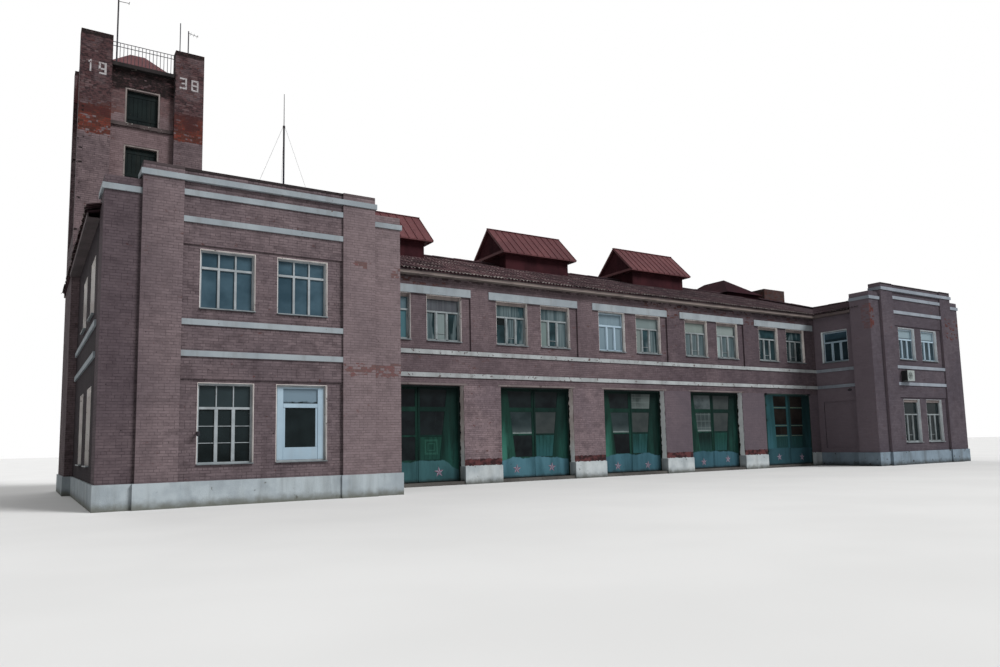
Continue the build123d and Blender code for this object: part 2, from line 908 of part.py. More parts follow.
with BuildPart() as tower_railing:
    rail_y = tower_front_y + tower_recess
    rail_top_z = cornice_top_z + rail_height
    for z in (rail_top_z - rail_bar, rail_top_z - rail_gap - rail_bar):
        block(rail_x, (rail_y, rail_y + rail_bar), (z, z + rail_bar))
    bar_step = recess_width / (rail_count + 1)
    bars = [
        (rail_x[0] + bar_step * (i + 1), cornice_top_z, rail_bar, rail_height)
        for i in range(rail_count)
    ]
    facing_y(rail_y, rail_bar, bars)
save(tower_railing.part, "tower_railing")

# Poles


def pole(x, y, base, top, radius):
    """A pole with flat sides, round enough for its size."""
    with BuildSketch(Plane.XY.offset(base)) as section:
        with Locations((x, y)):
            RegularPolygon(radius, pole_sides)
    extrude(section.sketch, amount=top - base)


with BuildPart() as masts:
    for x, top, radius in pole_places:
        base = cornice_top_z if rail_x[0] < x < rail_x[1] else tower_pilaster_z
        pole(x, pole_y + rail_bar + radius + pole_stand_off, base, top, radius)
    pole(mast_x, mast_y, eave_z, mast_top_z, mast_radius)
    add(wing_outer, mode=Mode.SUBTRACT)
save(masts.part, "masts")

# Cooling unit, held off the right wing's front by two brackets

with BuildPart() as cooler:
    block(
        (cooler_x, cooler_x + cooler_width),
        (panel_y - cooler_bracket_gap - cooler_depth, panel_y - cooler_bracket_gap),
        (cooler_z, cooler_z + cooler_height),
    )
    for x in (cooler_x + cooler_bracket, cooler_x + cooler_width - cooler_bracket):
        block(
            (x - cooler_bracket / 2, x + cooler_bracket / 2),
            (panel_y - cooler_bracket_gap, panel_y),
            (cooler_z, cooler_z + cooler_height),
        )
save(cooler.part, "cooling_unit")

# Windows


def ring(shape):
    """The places of a frame's opening: the same window drawn in by the width of its bar."""
    middle, low, width, height = shape
    return (middle, low + frame_bar, width - 2 * frame_bar, height - 2 * frame_bar)


def frames_y(y, shapes):
    with BuildPart() as frames:
        facing_y(y, frame_depth, shapes)
        facing_y(y, frame_depth, [ring(s) for s in shapes], Mode.SUBTRACT)
    return frames.part


def frames_x(x, shapes):
    with BuildPart() as frames:
        facing_x(x, frame_depth, shapes)
        facing_x(x, frame_depth, [ring(s) for s in shapes], Mode.SUBTRACT)
    return frames.part


front_frame_y = zone_y + window_setback
hall_frame_y = hall_y + bay_recess_depth + window_setback
rear_frame_y = hall_half_depth - window_setback - frame_depth
outer_frame_x = outer_x - window_setback - frame_depth
inner_frame_x = hall_half + window_setback
glass_inset = (frame_depth - glass_thickness) / 2

with BuildPart() as left_window_frames:
    add(frames_y(front_frame_y, wing_front_windows))
    add(frames_x(-outer_frame_x - frame_depth, places(outer_wall_ys)))
    add(frames_x(-inner_frame_x - frame_depth, inner_window))
save(left_window_frames.part, "left_wing_window_frames")

mirrored_front = [(-middle, low, width, height) for middle, low, width, height in wing_front_windows]

with BuildPart() as right_window_frames:
    add(frames_y(front_frame_y, mirrored_front))
    add(frames_x(outer_frame_x, places(right_outer_ys)))
    add(frames_x(inner_frame_x, inner_window))
save(right_window_frames.part, "right_wing_window_frames")

with BuildPart() as garage_window_frames:
    add(frames_y(hall_frame_y, hall_windows))
save(garage_window_frames.part, "garage_window_frames")

with BuildPart() as rear_window_frames:
    add(frames_y(rear_frame_y, rear_windows))
save(rear_window_frames.part, "rear_window_frames")

with BuildPart() as window_glass:
    for y, shapes in (
        (front_frame_y, wing_front_windows + mirrored_front),
        (hall_frame_y, hall_windows),
        (rear_frame_y, rear_windows),
    ):
        facing_y(y + glass_inset, glass_thickness, [ring(s) for s in shapes])
    for x, shapes in (
        (-outer_frame_x - frame_depth, places(outer_wall_ys)),
        (outer_frame_x, places(right_outer_ys)),
        (-inner_frame_x - frame_depth, inner_window),
        (inner_frame_x, inner_window),
    ):
        facing_x(x + glass_inset, glass_thickness, [ring(s) for s in shapes])
save(window_glass.part, "window_glass")


def sill_shapes(shapes):
    return [(middle, low, width, sill_thickness) for middle, low, width, _ in shapes]


with BuildPart() as window_sills:
    for y, depth, shapes in (
        (zone_y - sill_projection, window_setback + sill_projection, wing_front_windows + mirrored_front),
        (hall_frame_y - window_setback - sill_projection, window_setback + sill_projection, hall_windows),
        (rear_frame_y + frame_depth, window_setback + sill_projection, rear_windows),
    ):
        facing_y(y, depth, sill_shapes(shapes))
    sill_depth = window_setback + sill_projection
    for x, shapes in (
        (-outer_x - sill_projection, places(outer_wall_ys)),
        (outer_x - window_setback, places(right_outer_ys)),
        (-inner_frame_x, inner_window),
        (inner_frame_x - sill_depth, inner_window),
    ):
        facing_x(x, sill_depth, sill_shapes(shapes))
save(window_sills.part, "window_sills")

# Gates

gate_frame_ys = [hall_y + gate_recess] * (bay_count - 1) + [hall_y]
leaf_low_z = ground_floor_z + leaf_floor_gap
leaf_high_z = gate_top_z - post_width - leaf_edge_gap
leaf_width = gate_width / 2 - post_width - leaf_edge_gap - leaf_meeting_gap / 2

with BuildPart() as gate_frames:
    for centre, y in zip(gate_centres, gate_frame_ys):
        half = gate_width / 2
        block((centre - half, centre + half), (y, y + post_depth), (ground_floor_z, gate_top_z))
        block(
            (centre - half + post_width, centre + half - post_width),
            (y, y + post_depth),
            (ground_floor_z, gate_top_z - post_width),
            Mode.SUBTRACT,
        )
        for side in (-1, 1):
            axis_x = centre + side * (half - post_width - leaf_edge_gap / 2)
            axis_y = y - hinge_stand_off
            for z in hinge_heights:
                strap = sorted((axis_x, centre + side * (half - post_width + post_strap_length)))
                low = z - hinge_length / 2
                block(
                    strap,
                    (y - hinge_strap_thickness, y),
                    (low, low + hinge_length / 2 - leaf_edge_gap / 2),
                )
                with BuildSketch(Plane.XY.offset(low)) as knuckle:
                    with Locations((axis_x, axis_y)):
                        RegularPolygon(hinge_radius, hinge_sides, major_radius=False)
                extrude(knuckle.sketch, amount=hinge_length / 2 - leaf_edge_gap / 2)
                with BuildSketch(Plane.XY.offset(low)) as pin:
                    with Locations((axis_x, axis_y)):
                        if z == round_pin_z:
                            Circle(hinge_pin_radius)
                        else:
                            RegularPolygon(hinge_pin_radius, hinge_sides)
                extrude(pin.sketch, amount=hinge_length)
save(gate_frames.part, "gate_frames")

leaf_rails = [
    (leaf_low_z, leaf_foot_panel),
    (lock_rail_z, lock_rail),
    (head_rail_z, head_rail),
    (leaf_high_z - leaf_top_rail, leaf_top_rail),
]
last_rails = [(leaf_low_z, last_foot_panel)]
last_rails += [(z, last_bar) for z in last_bar_zs]
last_rails.append((leaf_high_z - last_top_rail, last_top_rail))
leaf_stiles = (stile_top, stile_foot, meeting_stile)
last_stiles = (last_stile_top, last_stile_foot, last_meeting_stile)


def gate_leaf(centre, side, y, rails, stiles):
    """One gate leaf, hung on the post at the given side of its bay. Its outer stile widens
    towards the foot, so the sunk fields between the rails have one slanted edge."""
    post_x = centre + side * (gate_width / 2 - post_width)
    hung_x = post_x - side * leaf_edge_gap
    free_x = hung_x - side * leaf_width
    axis_x = post_x - side * leaf_edge_gap / 2
    axis_y = y - hinge_stand_off
    with BuildPart() as leaf:
        block(sorted((hung_x, free_x)), (y, y + leaf_thickness), (leaf_low_z, leaf_high_z))
        top_stile, foot_stile, inner_stile = stiles
        inner_x = free_x + side * inner_stile
        field_foot_z = sum(rails[0])
        fall = (foot_stile - top_stile) / (rails[-1][0] - field_foot_z)
        foot_x = hung_x - side * foot_stile
        pocket = (leaf_thickness - leaf_panel) / 2
        for face_y in (y, y + leaf_thickness - pocket):
            with BuildSketch(Plane.XZ.offset(-face_y - pocket)) as fields:
                for (low, height), (high, _) in zip(rails, rails[1:]):
                    low += height
                    with BuildLine():
                        Polyline(
                            (inner_x, low),
                            (foot_x + side * fall * (low - field_foot_z), low),
                            (foot_x + side * fall * (high - field_foot_z), high),
                            (inner_x, high),
                            close=True,
                        )
                    make_face()
            extrude(fields.sketch, amount=pocket, mode=Mode.SUBTRACT)
        for z in hinge_heights:
            low = z + leaf_edge_gap / 2
            height = hinge_length / 2 - leaf_edge_gap / 2
            strap = sorted((axis_x, hung_x - side * hinge_strap_length))
            block(strap, (y - hinge_strap_thickness, y), (low, low + height))
            with BuildSketch(Plane.XY.offset(low)) as knuckle:
                with Locations((axis_x, axis_y)):
                    RegularPolygon(hinge_radius, hinge_sides, major_radius=False)
            extrude(knuckle.sketch, amount=height)
            eye_radius = hinge_pin_radius + hinge_pin_clearance
            with BuildSketch(Plane.XY.offset(low)) as eye:
                with Locations((axis_x, axis_y)):
                    RegularPolygon(eye_radius, hinge_sides, major_radius=False)
            extrude(eye.sketch, amount=height, mode=Mode.SUBTRACT)
    return leaf.part


for number, (centre, y) in enumerate(zip(gate_centres, gate_frame_ys), start=1):
    rails = last_rails if number == bay_count else leaf_rails
    stiles = last_stiles if number == bay_count else leaf_stiles
    for side, word in ((-1, "left"), (1, "right")):
        save(gate_leaf(centre, side, y, rails, stiles), f"gate_{number}_{word}_leaf")

print("wall top", wall_top_z, "outer", outer_x, "front", front_y)
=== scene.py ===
import json
import math
import random

import bmesh
import bpy
from mathutils import Matrix, Vector
from mathutils.bvhtree import BVHTree


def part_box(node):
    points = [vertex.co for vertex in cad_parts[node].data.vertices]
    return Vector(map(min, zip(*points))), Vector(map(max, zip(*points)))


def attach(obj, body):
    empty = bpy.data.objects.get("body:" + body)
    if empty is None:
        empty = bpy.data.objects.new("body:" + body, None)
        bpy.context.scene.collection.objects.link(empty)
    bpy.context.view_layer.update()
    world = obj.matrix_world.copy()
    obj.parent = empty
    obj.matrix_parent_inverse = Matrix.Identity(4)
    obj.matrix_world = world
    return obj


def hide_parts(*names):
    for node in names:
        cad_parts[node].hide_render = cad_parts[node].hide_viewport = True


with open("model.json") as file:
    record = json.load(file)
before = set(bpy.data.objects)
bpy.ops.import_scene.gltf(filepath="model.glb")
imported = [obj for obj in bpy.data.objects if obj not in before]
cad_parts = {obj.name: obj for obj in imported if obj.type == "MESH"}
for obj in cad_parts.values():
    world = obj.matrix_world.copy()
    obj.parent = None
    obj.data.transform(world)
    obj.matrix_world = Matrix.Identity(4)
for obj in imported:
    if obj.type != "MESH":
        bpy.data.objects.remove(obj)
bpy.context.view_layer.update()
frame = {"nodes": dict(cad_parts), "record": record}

# Looks of the fire station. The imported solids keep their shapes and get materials; wavy roof
# sheets, seams, window bars, panes, boards, stars and numerals are added as pieces.

nodes = frame["nodes"]
rng = random.Random(11)

# Camera, found from the photograph's vanishing lines. Its frame is 1000 pixels wide.

right = Vector((0.8452024, -0.5340072, -0.0216587))
up = Vector((-0.0394132, -0.1026941, 0.9939318))
ahead = Vector((0.5329910, 0.8392200, 0.1078443))
eye = Vector((-11.028, -14.4676, 0.7168))
focal = 755.94
middle_x, middle_y = 500, 361.98
cam_data = bpy.data.cameras.new("photo_camera")
cam_data.sensor_fit = "HORIZONTAL"
cam_data.sensor_width = 36
cam_data.lens = focal * 36 / 1000
cam_data.shift_y = (middle_y - 333.5) / 1000
cam_data.clip_end = 600
camera = bpy.data.objects.new("photo_camera", cam_data)
bpy.context.collection.objects.link(camera)
camera.matrix_world = Matrix(
    (
        (right.x, up.x, -ahead.x, eye.x),
        (right.y, up.y, -ahead.y, eye.y),
        (right.z, up.z, -ahead.z, eye.z),
        (0, 0, 0, 1),
    )
)
bpy.context.scene.camera = camera


# Materials. A colour is three screen values from 0 to 255.


def rgb(r, g, b):
    """A colour's screen values as the linear colour that the nodes take."""
    out = []
    for v in (r, g, b):
        v /= 255
        out.append(v / 12.92 if v <= 0.04045 else ((v + 0.055) / 1.055) ** 2.4)
    return (*out, 1.0)


class Field:
    """A node's output; arithmetic with it adds math nodes to its graph."""

    def __init__(self, graph, socket):
        self.graph, self.socket = graph, socket

    def __add__(self, other):
        return self.graph.m("ADD", self, other)

    def __sub__(self, other):
        return self.graph.m("SUBTRACT", self, other)

    def __rsub__(self, other):
        return self.graph.m("SUBTRACT", other, self)

    def __mul__(self, other):
        return self.graph.m("MULTIPLY", self, other)

    def __abs__(self):
        return self.graph.m("ABSOLUTE", self)

    def __gt__(self, other):
        return self.graph.m("GREATER_THAN", self, other)


class Graph:
    """One material's node tree. tone is its colour so far, and coat lays another over that."""

    def __init__(self, name, roughness=0.7, metallic=0.0, specular=0.15, alpha=1.0):
        self.mat = bpy.data.materials.new(name)
        self.mat.use_nodes = True
        self.tree = self.mat.node_tree
        self.tree.nodes.clear()
        out = self.add("ShaderNodeOutputMaterial")
        self.shader = self.add(
            "ShaderNodeBsdfPrincipled",
            {"Roughness": roughness, "Metallic": metallic, "Specular IOR Level": specular, "Alpha": alpha},
        )
        self.put(out.inputs[0], self.shader.outputs[0])
        self.place = self.add("ShaderNodeTexCoord").outputs["Object"]
        self.x, self.y, self.z = self.parts(self.place)
        self.nx, self.ny, self.nz = self.parts(self.add("ShaderNodeNewGeometry").outputs["Normal"])
        self.tone = self.height = None

    def add(self, kind, inputs=None, **props):
        node = self.tree.nodes.new(kind)
        for key, value in props.items():
            setattr(node, key, value)
        for key, value in (inputs or {}).items():
            self.put(node.inputs[key], value)
        return node

    def put(self, socket, value):
        """Links an input to a node's output, or sets it to a constant."""
        if isinstance(value, Field):
            value = value.socket
        if isinstance(value, bpy.types.NodeSocket):
            self.tree.links.new(value, socket)
        elif socket.type == "RGBA" and len(value) == 3:
            socket.default_value = rgb(*value)
        else:
            socket.default_value = value

    def parts(self, vector):
        return [Field(self, part) for part in self.add("ShaderNodeSeparateXYZ", {0: vector}).outputs]

    def m(self, operation, a, b=0.0, c=0.0):
        node = self.add("ShaderNodeMath", {0: a, 1: b, 2: c}, operation=operation)
        return Field(self, node.outputs[0])

    def span(self, value, low, high, start=0.0, end=1.0):
        """value carried smoothly from the range low..high to start..end."""
        ends = {"From Min": low, "From Max": high, "To Min": start, "To Max": end}
        node = self.add("ShaderNodeMapRange", {"Value": value, **ends}, interpolation_type="SMOOTHSTEP")
        return Field(self, node.outputs[0])

    def fall(self, value, low, high, start=1.0):
        return self.span(value, low, high, start, 0.0)

    def mix(self, share, a, b):
        node = self.add("ShaderNodeMix", data_type="RGBA")
        for place, value in ((0, share), (6, a), (7, b)):
            self.put(node.inputs[place], value)
        return Field(self, node.outputs[2])

    def coat(self, share, colour):
        self.tone = self.mix(share, self.tone, colour)

    def noise(self, scale, detail=4.0, stretch=(1, 1, 1), offset=0.0, roughness=0.55):
        vector = self.place
        if stretch != (1, 1, 1) or offset:
            shift = (offset, offset * 0.7, offset * 1.3)
            inputs = {"Vector": self.place, "Scale": stretch, "Location": shift}
            vector = self.add("ShaderNodeMapping", inputs).outputs[0]
        inputs = {"Vector": vector, "Scale": scale, "Detail": detail, "Roughness": roughness}
        return Field(self, self.add("ShaderNodeTexNoise", inputs).outputs[0])

    def sway(self, width, *noise):
        """Noise centred on zero, width wide."""
        return (self.noise(*noise) - 0.5) * width

    def zone(self, axis, low, high, soft):
        """A mask that is 1 between low and high along an axis and fades out over soft."""
        value = {"x": self.x, "y": self.y, "z": self.z}[axis]
        return self.span(value, low - soft, low) * self.fall(value, high, high + soft)

    def both(self, first, *masks):
        for mask in masks:
            first = first * mask
        return first

    def either(self, first, *masks):
        for mask in masks:
            first = self.m("MAXIMUM", first, mask)
        return first

    def finish(self, height=None, distance=0.002, strength=0.6, roughness=None):
        self.put(self.shader.inputs["Base Color"], self.tone)
        if roughness is not None:
            self.put(self.shader.inputs["Roughness"], roughness)
        if height is not None:
            bump = self.add("ShaderNodeBump", {"Height": height, "Distance": distance, "Strength": strength})
            self.put(self.shader.inputs["Normal"], bump.outputs[0])
        return self.mat


def surface(
    name, base, other, roughness=0.75, metallic=0.0, specular=0.2, scale=6.0, streak=0.0, stain=(60, 56, 54),
    chip=None, chip_scale=18.0, chip_at=0.62, foot=None, left=None, distance=0.002, strength=0.5,
):
    """A worn plain surface: two mixed tones, streaks of stain, chips, dirt at the foot, painted
    shade in another colour on faces that look left, and fine relief."""
    g = Graph(name, roughness, metallic, specular)
    g.tone = g.mix(g.span(g.noise(scale * 0.35, 5), 0.35, 0.65), base, other)
    fine = height = g.noise(scale * 14, 3)
    g.coat(g.span(fine, 0.3, 0.75, 0.0, 0.35), other)
    if streak:
        g.coat(g.span(g.noise(7.0, 4, (1, 1, 0.12), 3.1), 0.45, 0.75, 0.0, streak), stain)
    if chip:
        chips = g.span(g.noise(chip_scale, 5, (1, 1, 1), 7.7, 0.62), chip_at, chip_at + 0.03)
        g.coat(chips, chip)
        height = fine - chips * 1.5
    if foot:
        g.coat(g.fall(g.z + g.noise(9.0) * 0.12, 0.06, 0.2, 0.85), foot)
    # Painted shade: faces that look left take the colour left.
    if left:
        g.coat(g.fall(g.nx, -0.6, -0.5), left)
    rough = g.span(fine, 0.2, 0.8, roughness - 0.1, roughness + 0.12)
    return g.finish(height, distance, strength, rough)


course = 0.0385
brick_length = 0.131


def brickwork(
    name, paint, paint_other, joint, bare=(), stained=(), raw=(112, 54, 44), lift=(140, 122, 124), wear=0.66,
    blot=0.45, grime=0.25, holes=True,
):
    """Painted brickwork in true courses, every third one of headers. bare lists masks where the
    paint has gone down to raw brick, and stained lists masks of black growth."""
    g = Graph(name, 0.88, 0.0, 0.04)
    side = abs(g.nx) > abs(g.ny)
    flat = abs(g.nz) > 0.7
    along = g.x + side * (g.y - g.x)
    upward = g.z + flat * (g.y - g.z)
    place = g.add("ShaderNodeCombineXYZ", {0: along, 1: upward}).outputs[0]
    drift = g.add("ShaderNodeTexNoise", {"Vector": g.place, "Scale": 14.0}).outputs[1]
    wobble = g.add("ShaderNodeVectorMath", {0: drift, "Scale": 0.009}, operation="SCALE").outputs[0]
    laid = g.add("ShaderNodeVectorMath", {0: place, 1: wobble}, operation="ADD").outputs[0]
    inputs = {
        "Vector": laid, "Color1": (0, 0, 0, 1), "Color2": (1, 1, 1, 1), "Mortar": (0.5, 0.5, 0.5, 1),
        "Scale": 1.0, "Mortar Size": 0.0034, "Mortar Smooth": 0.25, "Brick Width": brick_length,
        "Row Height": course,
    }
    bricks = g.add("ShaderNodeTexBrick", inputs, squash=0.5, squash_frequency=3)
    each, gap = (Field(g, bricks.outputs[output]) for output in ("Color", "Fac"))
    g.each = each
    fine = g.noise(46.0, 3)
    g.tone = g.mix(g.span(g.noise(0.9, 6), 0.36, 0.62), paint, paint_other)
    g.coat(g.span(g.noise(4.6, 6, (1, 1, 1.3), 6.1, 0.6), 0.45, 0.7, 0.0, blot), joint)
    g.coat(each * 0.34, joint)
    g.coat(g.span(fine, 0.55, 0.78, 0.0, 0.3), lift)
    g.coat(gap * g.span(g.noise(13.0, 5), 0.36, 0.62, 0.15, 0.85), joint)
    raw = g.mix(each, raw, (66, 38, 34))
    raw = g.mix(g.span(fine, 0.35, 0.7, 0.0, 0.45), raw, (92, 66, 58))
    raw = g.mix(gap * 0.75, raw, (70, 62, 60))
    flake = g.noise(7.0, 7, (1, 1, 1.6), 2.3, 0.65) + (each - 0.5) * 0.08
    worn = g.either(g.span(flake, wear, wear + 0.03) * 0.7, *(mask(g) for mask in bare))
    g.coat(worn, raw)
    g.coat(g.span(g.noise(5.0, 5, (1, 1, 0.1), 5.5), 0.5, 0.8, 0.0, grime), (46, 40, 42))
    for mask in stained:
        g.coat(mask(g) * 0.85, soot)
    pits = g.add("ShaderNodeTexVoronoi", {"Vector": laid, "Scale": 21.0}).outputs["Distance"]
    pit = g.both(g.fall(pits, 0.06, 0.12), g.span(g.noise(6.0, 5, (1, 1, 1), 4.9), 0.46, 0.56))
    g.coat(pit * 0.6, (44, 36, 39))
    g.height = fine * 0.35 - gap - worn * 0.4 - pit
    if holes:
        cells = g.add("ShaderNodeTexVoronoi", {"Vector": place, "Scale": 6.5}).outputs["Distance"]
        spot = g.fall(cells, 0.045, 0.075) * g.span(g.noise(2.2, 3, (1, 1, 1), 9.1), 0.5, 0.58)
        g.coat(spot * 0.8, (34, 28, 30))
        g.height = g.height - spot * 2.0
    return g


def patch(x, y, z, soft=0.05, level=0.6, torn=0.9, by_brick=0.35):
    """A worn area with a torn edge, brick by brick, between three ranges; None is no limit."""
    def mask(g):
        zones = [g.zone(axis, *span, soft) for axis, span in zip("xyz", (x, y, z)) if span]
        edge = g.sway(torn, 9.0, 6, (1, 1, 1.7), z[0], 0.65)
        value = g.both(*zones) + (edge + (g.each - 0.5) * by_brick)
        return g.span(value, level, level + 0.06)
    return mask


soot = (30, 27, 27)
front_y = (-4.15, -4.03)
tower_front_y = (0.3, 0.45)
tops = patch(None, None, (4.425, 4.6), soft=0.03, level=0.7, by_brick=0.2)

g = brickwork(
    "left_wing_brick", (112, 99, 102), (98, 87, 91), (54, 46, 49),
    (
        patch((-7.05, -6.05), front_y, (1.78, 1.9), 0.12, 0.93, 1.9, 0.75),
        patch((-6.98, -6.76), (-4.15, -4.05), (3.36, 3.44), 0.02, 0.9, by_brick=0.9),
        patch((-6.32, -6.1), front_y, (3.25, 3.42), 0.06, 1.1, by_brick=0.9),
    ),
    (tops,), raw=(96, 34, 36),
)
# Painted shade: the wing darkens towards its left end.
g.coat(g.fall(g.x, -10.0, -9.3, 0.45), (58, 50, 56))
# Painted highlight: the proud faces and one arris are lighter than the recessed panels, more so towards the
# right.
proud_highlight = g.either(g.fall(g.y, -4.085, -4.075, 0.5), g.span(g.x, -7.06, -7.04, 0.0, 0.5))
proud_highlight = g.both(proud_highlight, g.span(g.x, -9.5, -7.2, 0.45, 0.8))
g.coat(proud_highlight, g.mix(0.55, g.tone, (146, 130, 132)))
left_brick = g.finish(g.height, 0.004, 0.75)

# Painted shade: the right wing's paint is darker than the left wing's.
g = brickwork(
    "right_wing_brick", (87, 80, 86), (78, 72, 79), (58, 52, 57),
    (
        patch((6.1, 6.25), (-4.1, -3.84), (3.32, 3.9), level=0.92, by_brick=0.8),
        patch((6.18, 6.34), (-4.1, -4.0), (3.4, 3.8), level=0.92, by_brick=0.8),
        patch((9.5, 10.3), front_y, (3.2, 3.75), 0.1, 1.18, by_brick=0.8),
    ),
    (tops,), raw=(104, 44, 48), lift=(104, 97, 103), holes=False,
)
# Painted light: faces that look left are lightened to make up for the light that does not reach them.
g.coat(g.fall(g.nx, -0.6, -0.5, 0.42), (134, 121, 129))
right_brick = g.finish(g.height, 0.004, 0.6)

# Painted shade: the side walls' paint is darker than the fronts', and faces that look left are darkened
# further.
g = brickwork(
    "side_brick", (84, 74, 78), (70, 62, 66), (46, 40, 44), (), (tops,), wear=0.64, lift=(104, 94, 96),
)
g.coat(g.fall(g.nx, -0.6, -0.5, 0.7), (24, 21, 24))
side_brick = g.finish(g.height, 0.004, 0.7)

g = brickwork(
    "hall_brick", (104, 91, 95), (88, 77, 82), (52, 44, 48),
    (
        patch((-6.2, -4.4), (-2.45, -2.3), (3.6, 3.9), level=1.22, by_brick=0.7, torn=1.1),
        patch((0.4, 6.0), (-2.45, -2.3), (3.45, 3.9), level=1.2, by_brick=0.7, torn=1.1),
    ),
    (patch(None, None, (3.74, 4.0), 0.08, 0.95, by_brick=0.2),), grime=0.35, wear=0.64, raw=(88, 58, 56),
)
# Painted light and shade: the front is lighter towards its left and darker towards its right end.
g.coat(g.fall(g.x, -0.5, 1.5, 0.13), (128, 112, 114))
g.coat(g.span(g.x, 0.8, 4.5, 0.0, 0.38), (68, 61, 67))
hall_brick = g.finish(g.height, 0.004, 0.75)

# The piers between the gates: red band, lime foot and plastered reveals with a torn edge

g = brickwork("pier_brick", (128, 112, 115), (110, 97, 102), (66, 57, 60), holes=False)
# Painted shade: the piers darken towards the right.
g.coat(g.span(g.x, -2.5, 2.0, 0.0, 0.8), (80, 73, 80))
rag = g.z + g.sway(0.06, 16.0, 5, (1, 1, 1), 4.4)
red_band = g.mix(g.span(g.noise(9.0, 6), 0.4, 0.62), (86, 54, 55), (48, 34, 36))
g.coat(g.fall(rag, 0.448, 0.455) * g.fall(g.x, 4.6, 4.7), red_band)
g.coat(g.fall(rag, 0.33, 0.336), (160, 166, 168))
reveal = abs(g.nx) > 0.5
plaster = g.mix(g.span(g.noise(4.0, 6), 0.35, 0.65), (238, 230, 226), (208, 196, 192))
whiter = g.either(g.fall(g.z, 0.34, 0.95, 0.6), g.span(g.x, -0.5, 0.5, 0.0, 0.6))
plaster = g.mix(whiter, plaster, (224, 238, 242))
g.coat(reveal * g.span(g.y + g.sway(0.05, 14.0, 4, (1, 1, 0.6)), -2.392, -2.385), plaster)
g.coat(reveal * g.span(g.y + g.sway(0.12, 11.0, 6, (1, 1, 0.8), 2.2), -2.262, -2.25), (26, 28, 27))
pier_brick = g.finish(g.height, 0.004, 0.6)

tower_stains = (
    patch((-9.84, -8.8), (0.3, 0.8), (7.46, 7.9), 0.1, 0.82, 1.1, 0.3),
    patch(None, None, (8.3, 8.5), 0.06, 0.7, by_brick=0.2),
    patch((-10.5, -10.3), None, (4.0, 8.4), 0.3, 1.16, 1.3, 0.3),
)
g = brickwork(
    "tower_brick", (120, 105, 107), (104, 91, 94), (56, 48, 51),
    (
        patch((-10.5, -9.8), tower_front_y, (6.5, 6.93), 0.16, 0.66, 1.7, 0.7),
        patch((-8.85, -8.1), tower_front_y, (6.64, 7.04), 0.16, 0.66, 1.7, 0.7),
        patch((-10.5, -8.1), tower_front_y, (6.9, 8.3), 0.3, 1.24, 1.2, 0.8),
        patch((-9.86, -9.5), None, (6.95, 7.4), 0.08, 1.02, by_brick=0.7),
    ),
    tower_stains, grime=0.35, blot=0.5, raw=(112, 50, 40),
)
upper = g.span(g.z + g.sway(0.3, 5.0, 5), 6.9, 7.15)
weathered = g.mix(g.span(g.noise(16.0, 6, (1, 1, 1.8), 7.1, 0.66), 0.42, 0.6), (76, 55, 56), (44, 35, 37))
weathered = g.mix(g.span(g.each, 0.8, 0.95, 0.0, 0.5), weathered, (108, 94, 95))
front = g.fall(g.ny, -0.6, -0.5)
g.coat(g.both(upper, front, g.span(g.noise(3.2, 5, (1, 1, 1), 1.9), 0.34, 0.5, 0.5, 0.92)), weathered)
dusk = g.both(g.zone("z", 6.8, 7.1, 0.06), g.zone("y", 0.3, 0.46, 0.01))
g.coat(dusk * g.span(g.noise(5.0), 0.42, 0.6, 0.2, 0.8), (62, 38, 38))
g.coat(g.both(g.zone("y", 0.47, 0.7, 0.01), front, g.fall(g.z, 7.36, 7.42, 0.18)), (150, 124, 124))
# Painted shade on faces that look left.
g.coat(g.fall(g.nx, -0.6, -0.5, 0.45), (52, 46, 50))
flecks = g.span(g.noise(26.0, 5, (1, 1, 1), 5.5, 0.6), 0.44, 0.6, 0.9, 0.45)
for mask in tower_stains:
    g.coat(mask(g) * flecks, soot)
tower_brick = g.finish(g.height, 0.005, 0.85)

g = brickwork("chimney_brick", (78, 64, 64), (62, 52, 54), (54, 48, 46), wear=0.5, raw=(84, 48, 42))
chimney_brick = g.finish(g.height, 0.006, 0.9)

# Plain surfaces

band = dict(chip_at=0.67, chip_scale=14.0, streak=0.3, roughness=0.8, distance=0.003)
band_white = surface(
    "band_white", (142, 150, 155), (126, 134, 140), chip=(92, 82, 80), stain=(98, 96, 94), **band
)
# Painted shade: the right wing's bands are darker than the others.
shaded_band_white = surface(
    "shaded_band_white", (134, 141, 150), (118, 125, 134), chip=(84, 76, 78), stain=(88, 88, 90), **band
)
string_white = surface(
    "string_white", (158, 163, 165), (136, 140, 142), chip=(84, 72, 72), chip_at=0.61, chip_scale=17.0,
    streak=0.4, stain=(92, 88, 86), roughness=0.85, distance=0.004, strength=0.8,
)
ledge_worn = surface(
    "worn_ledge", (92, 82, 82), (60, 52, 52), chip=(164, 162, 156), chip_at=0.6, chip_scale=8.0,
    streak=0.6, stain=(34, 30, 30), roughness=0.95, distance=0.006, strength=0.9,
)
plinth = dict(roughness=0.9, distance=0.006, strength=0.8, scale=8.0)
plinth_white = surface(
    "plinth_white", (162, 171, 176), (140, 149, 155), chip=(118, 122, 122), chip_at=0.68, chip_scale=9.0,
    streak=0.4, stain=(104, 108, 106), foot=(84, 84, 74), **plinth,
)
